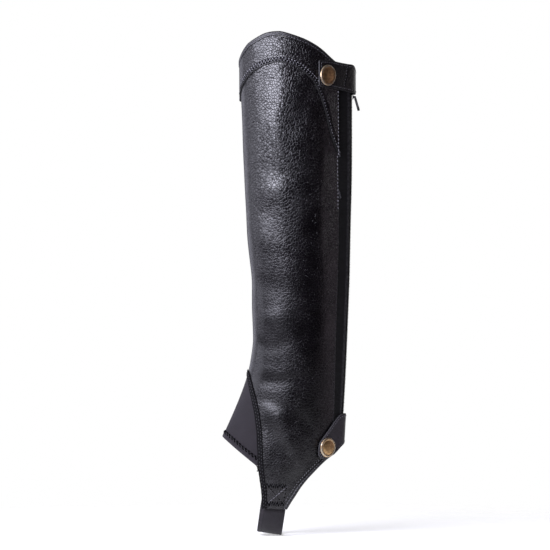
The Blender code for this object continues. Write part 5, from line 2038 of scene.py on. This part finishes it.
def make_stage():
    """The floor, the room, the lights and the camera."""
    scene = bpy.context.scene
    scene.view_settings.view_transform = "Standard"
    make_floor()
    make_world()
    light_all()
    camera = bpy.data.cameras.new("Camera")
    camera.sensor_width = SENSOR
    camera.lens = SENSOR * CAMERA_AWAY / (PICTURE * MM)
    camera.clip_end = 100
    viewer = linked("Camera", camera)
    back = Vector((math.cos(CAMERA_RISE), 0, math.sin(CAMERA_RISE)))
    viewer.location = Vector((0, *PICTURE_MIDDLE)) * MM + back * CAMERA_AWAY
    viewer.rotation_euler = (-back).to_track_quat("-Z", "Y").to_euler()
    scene.camera = viewer
    return viewer


# The add-on


def distance_property(name, description, default, low, high):
    return FloatProperty(
        name=name, description=description, default=default, min=low, max=high,
        subtype="DISTANCE", unit="LENGTH",
    )


def colour_property(name, of, default):
    return FloatVectorProperty(
        name=name, description="Colour of " + of, default=default, min=0, max=1, size=3, subtype="COLOR"
    )


class HalfChapSizes(bpy.types.PropertyGroup):
    """Sizes that a user would change."""

    leather_spacing: distance_property(
        "Leather mesh spacing", "Distance between the points of the leather's mesh", 0.0021, 0.0018, 0.01
    )
    crease_depth: FloatProperty(
        name="Crease depth", description="How deep the leather's soft folds are, where 1 is as worn",
        default=1.0, min=0.0, max=1.5, subtype="FACTOR",
    )
    rib_pitch: distance_property(
        "Rib pitch", "Distance between the ribs of the stretch panel", 0.0014, 0.001, 0.004
    )
    coil_pitch: distance_property(
        "Coil pitch", "Distance between teeth on one side of the zip", 0.0027, 0.002, 0.005
    )


class HalfChapColours(bpy.types.PropertyGroup):
    """Colours that a user would change."""

    leather: colour_property("Leather", "the leather", (0.0025, 0.0019, 0.0028))
    cut_edge: colour_property("Cut edge", "cut and rubbed leather edges", (0.032, 0.031, 0.034))
    lining: colour_property("Lining", "the lining", (0.040, 0.040, 0.044))
    stretch: colour_property("Stretch panel", "the ribbed panel", (0.0055, 0.0052, 0.0058))
    instep: colour_property("Instep panel", "the panel over the instep", (0.0105, 0.0088, 0.0110))
    webbing: colour_property("Webbing", "the foot strap", (0.0085, 0.0072, 0.0088))
    tape: colour_property("Zip tape", "the zip's tape and coil", (0.010, 0.010, 0.011))
    # Painted highlight: lighter than the real chap's black thread, so that the stitches read as light dots
    thread: colour_property("Thread", "the sewing thread", (0.110, 0.108, 0.120))
    brass: colour_property("Brass", "the snap caps", (0.56, 0.36, 0.17))
    brass_dark: colour_property("Patina", "the snap caps' patina", (0.30, 0.18, 0.085))
    # Partly rubbed brass and partly a painted highlight on the rolled rim
    brass_rim: colour_property("Rubbed brass", "the snap caps' rubbed rim", (0.46, 0.42, 0.34))


def piece_operator(label, make):
    """An operator class that makes one group of pieces, and says what the function that makes them says."""
    name = make.__name__.removeprefix("make_")

    def execute(self, context):
        if not make():
            raise RuntimeError(f"{label} made nothing")
        return {"FINISHED"}

    text = make.__doc__.rstrip(".")
    members = {"__doc__": text, "bl_idname": f"half_chap.{name}", "bl_label": label, "execute": execute}
    return type(f"HALF_CHAP_OT_{name}", (bpy.types.Operator,), members)


OPERATORS = [
    piece_operator(*row)
    for row in (
        ("Leather body", make_leather), ("Lining", make_lining), ("Yoke", make_yoke),
        ("Bindings", make_bindings), ("Stretch panel", make_stretch_panel), ("Instep panel", make_instep),
        ("Zip", make_zip), ("Slider and pull", make_slider), ("Snap tabs", make_tabs),
        ("Snap caps", make_snaps), ("Foot strap", make_strap), ("Stitching", make_stitching),
        ("Stage", make_stage),
    )
]


class HALF_CHAP_PT_panel(bpy.types.Panel):
    """Lists the half chap's operators, sizes and colours."""

    bl_label = "Half chap"
    bl_idname = "HALF_CHAP_PT_panel"
    bl_space_type = "VIEW_3D"
    bl_region_type = "UI"
    bl_category = "Half chap"

    def draw(self, context):
        for group in (context.scene.half_chap_sizes, context.scene.half_chap_colours):
            box = self.layout.box()
            for key in group.__annotations__:
                box.prop(group, key)
        for operator in OPERATORS:
            self.layout.operator(operator.bl_idname)


CLASSES = [HalfChapSizes, HalfChapColours, *OPERATORS, HALF_CHAP_PT_panel]


def register():
    for one in CLASSES:
        bpy.utils.register_class(one)
    bpy.types.Scene.half_chap_sizes = PointerProperty(type=HalfChapSizes)
    bpy.types.Scene.half_chap_colours = PointerProperty(type=HalfChapColours)


def unregister():
    del bpy.types.Scene.half_chap_colours
    del bpy.types.Scene.half_chap_sizes
    for one in reversed(CLASSES):
        bpy.utils.unregister_class(one)


def main():
    register()
    for operator in OPERATORS:
        _, name = operator.bl_idname.split(".")
        getattr(bpy.ops.half_chap, name)()


if __name__ == "__main__":
    main()
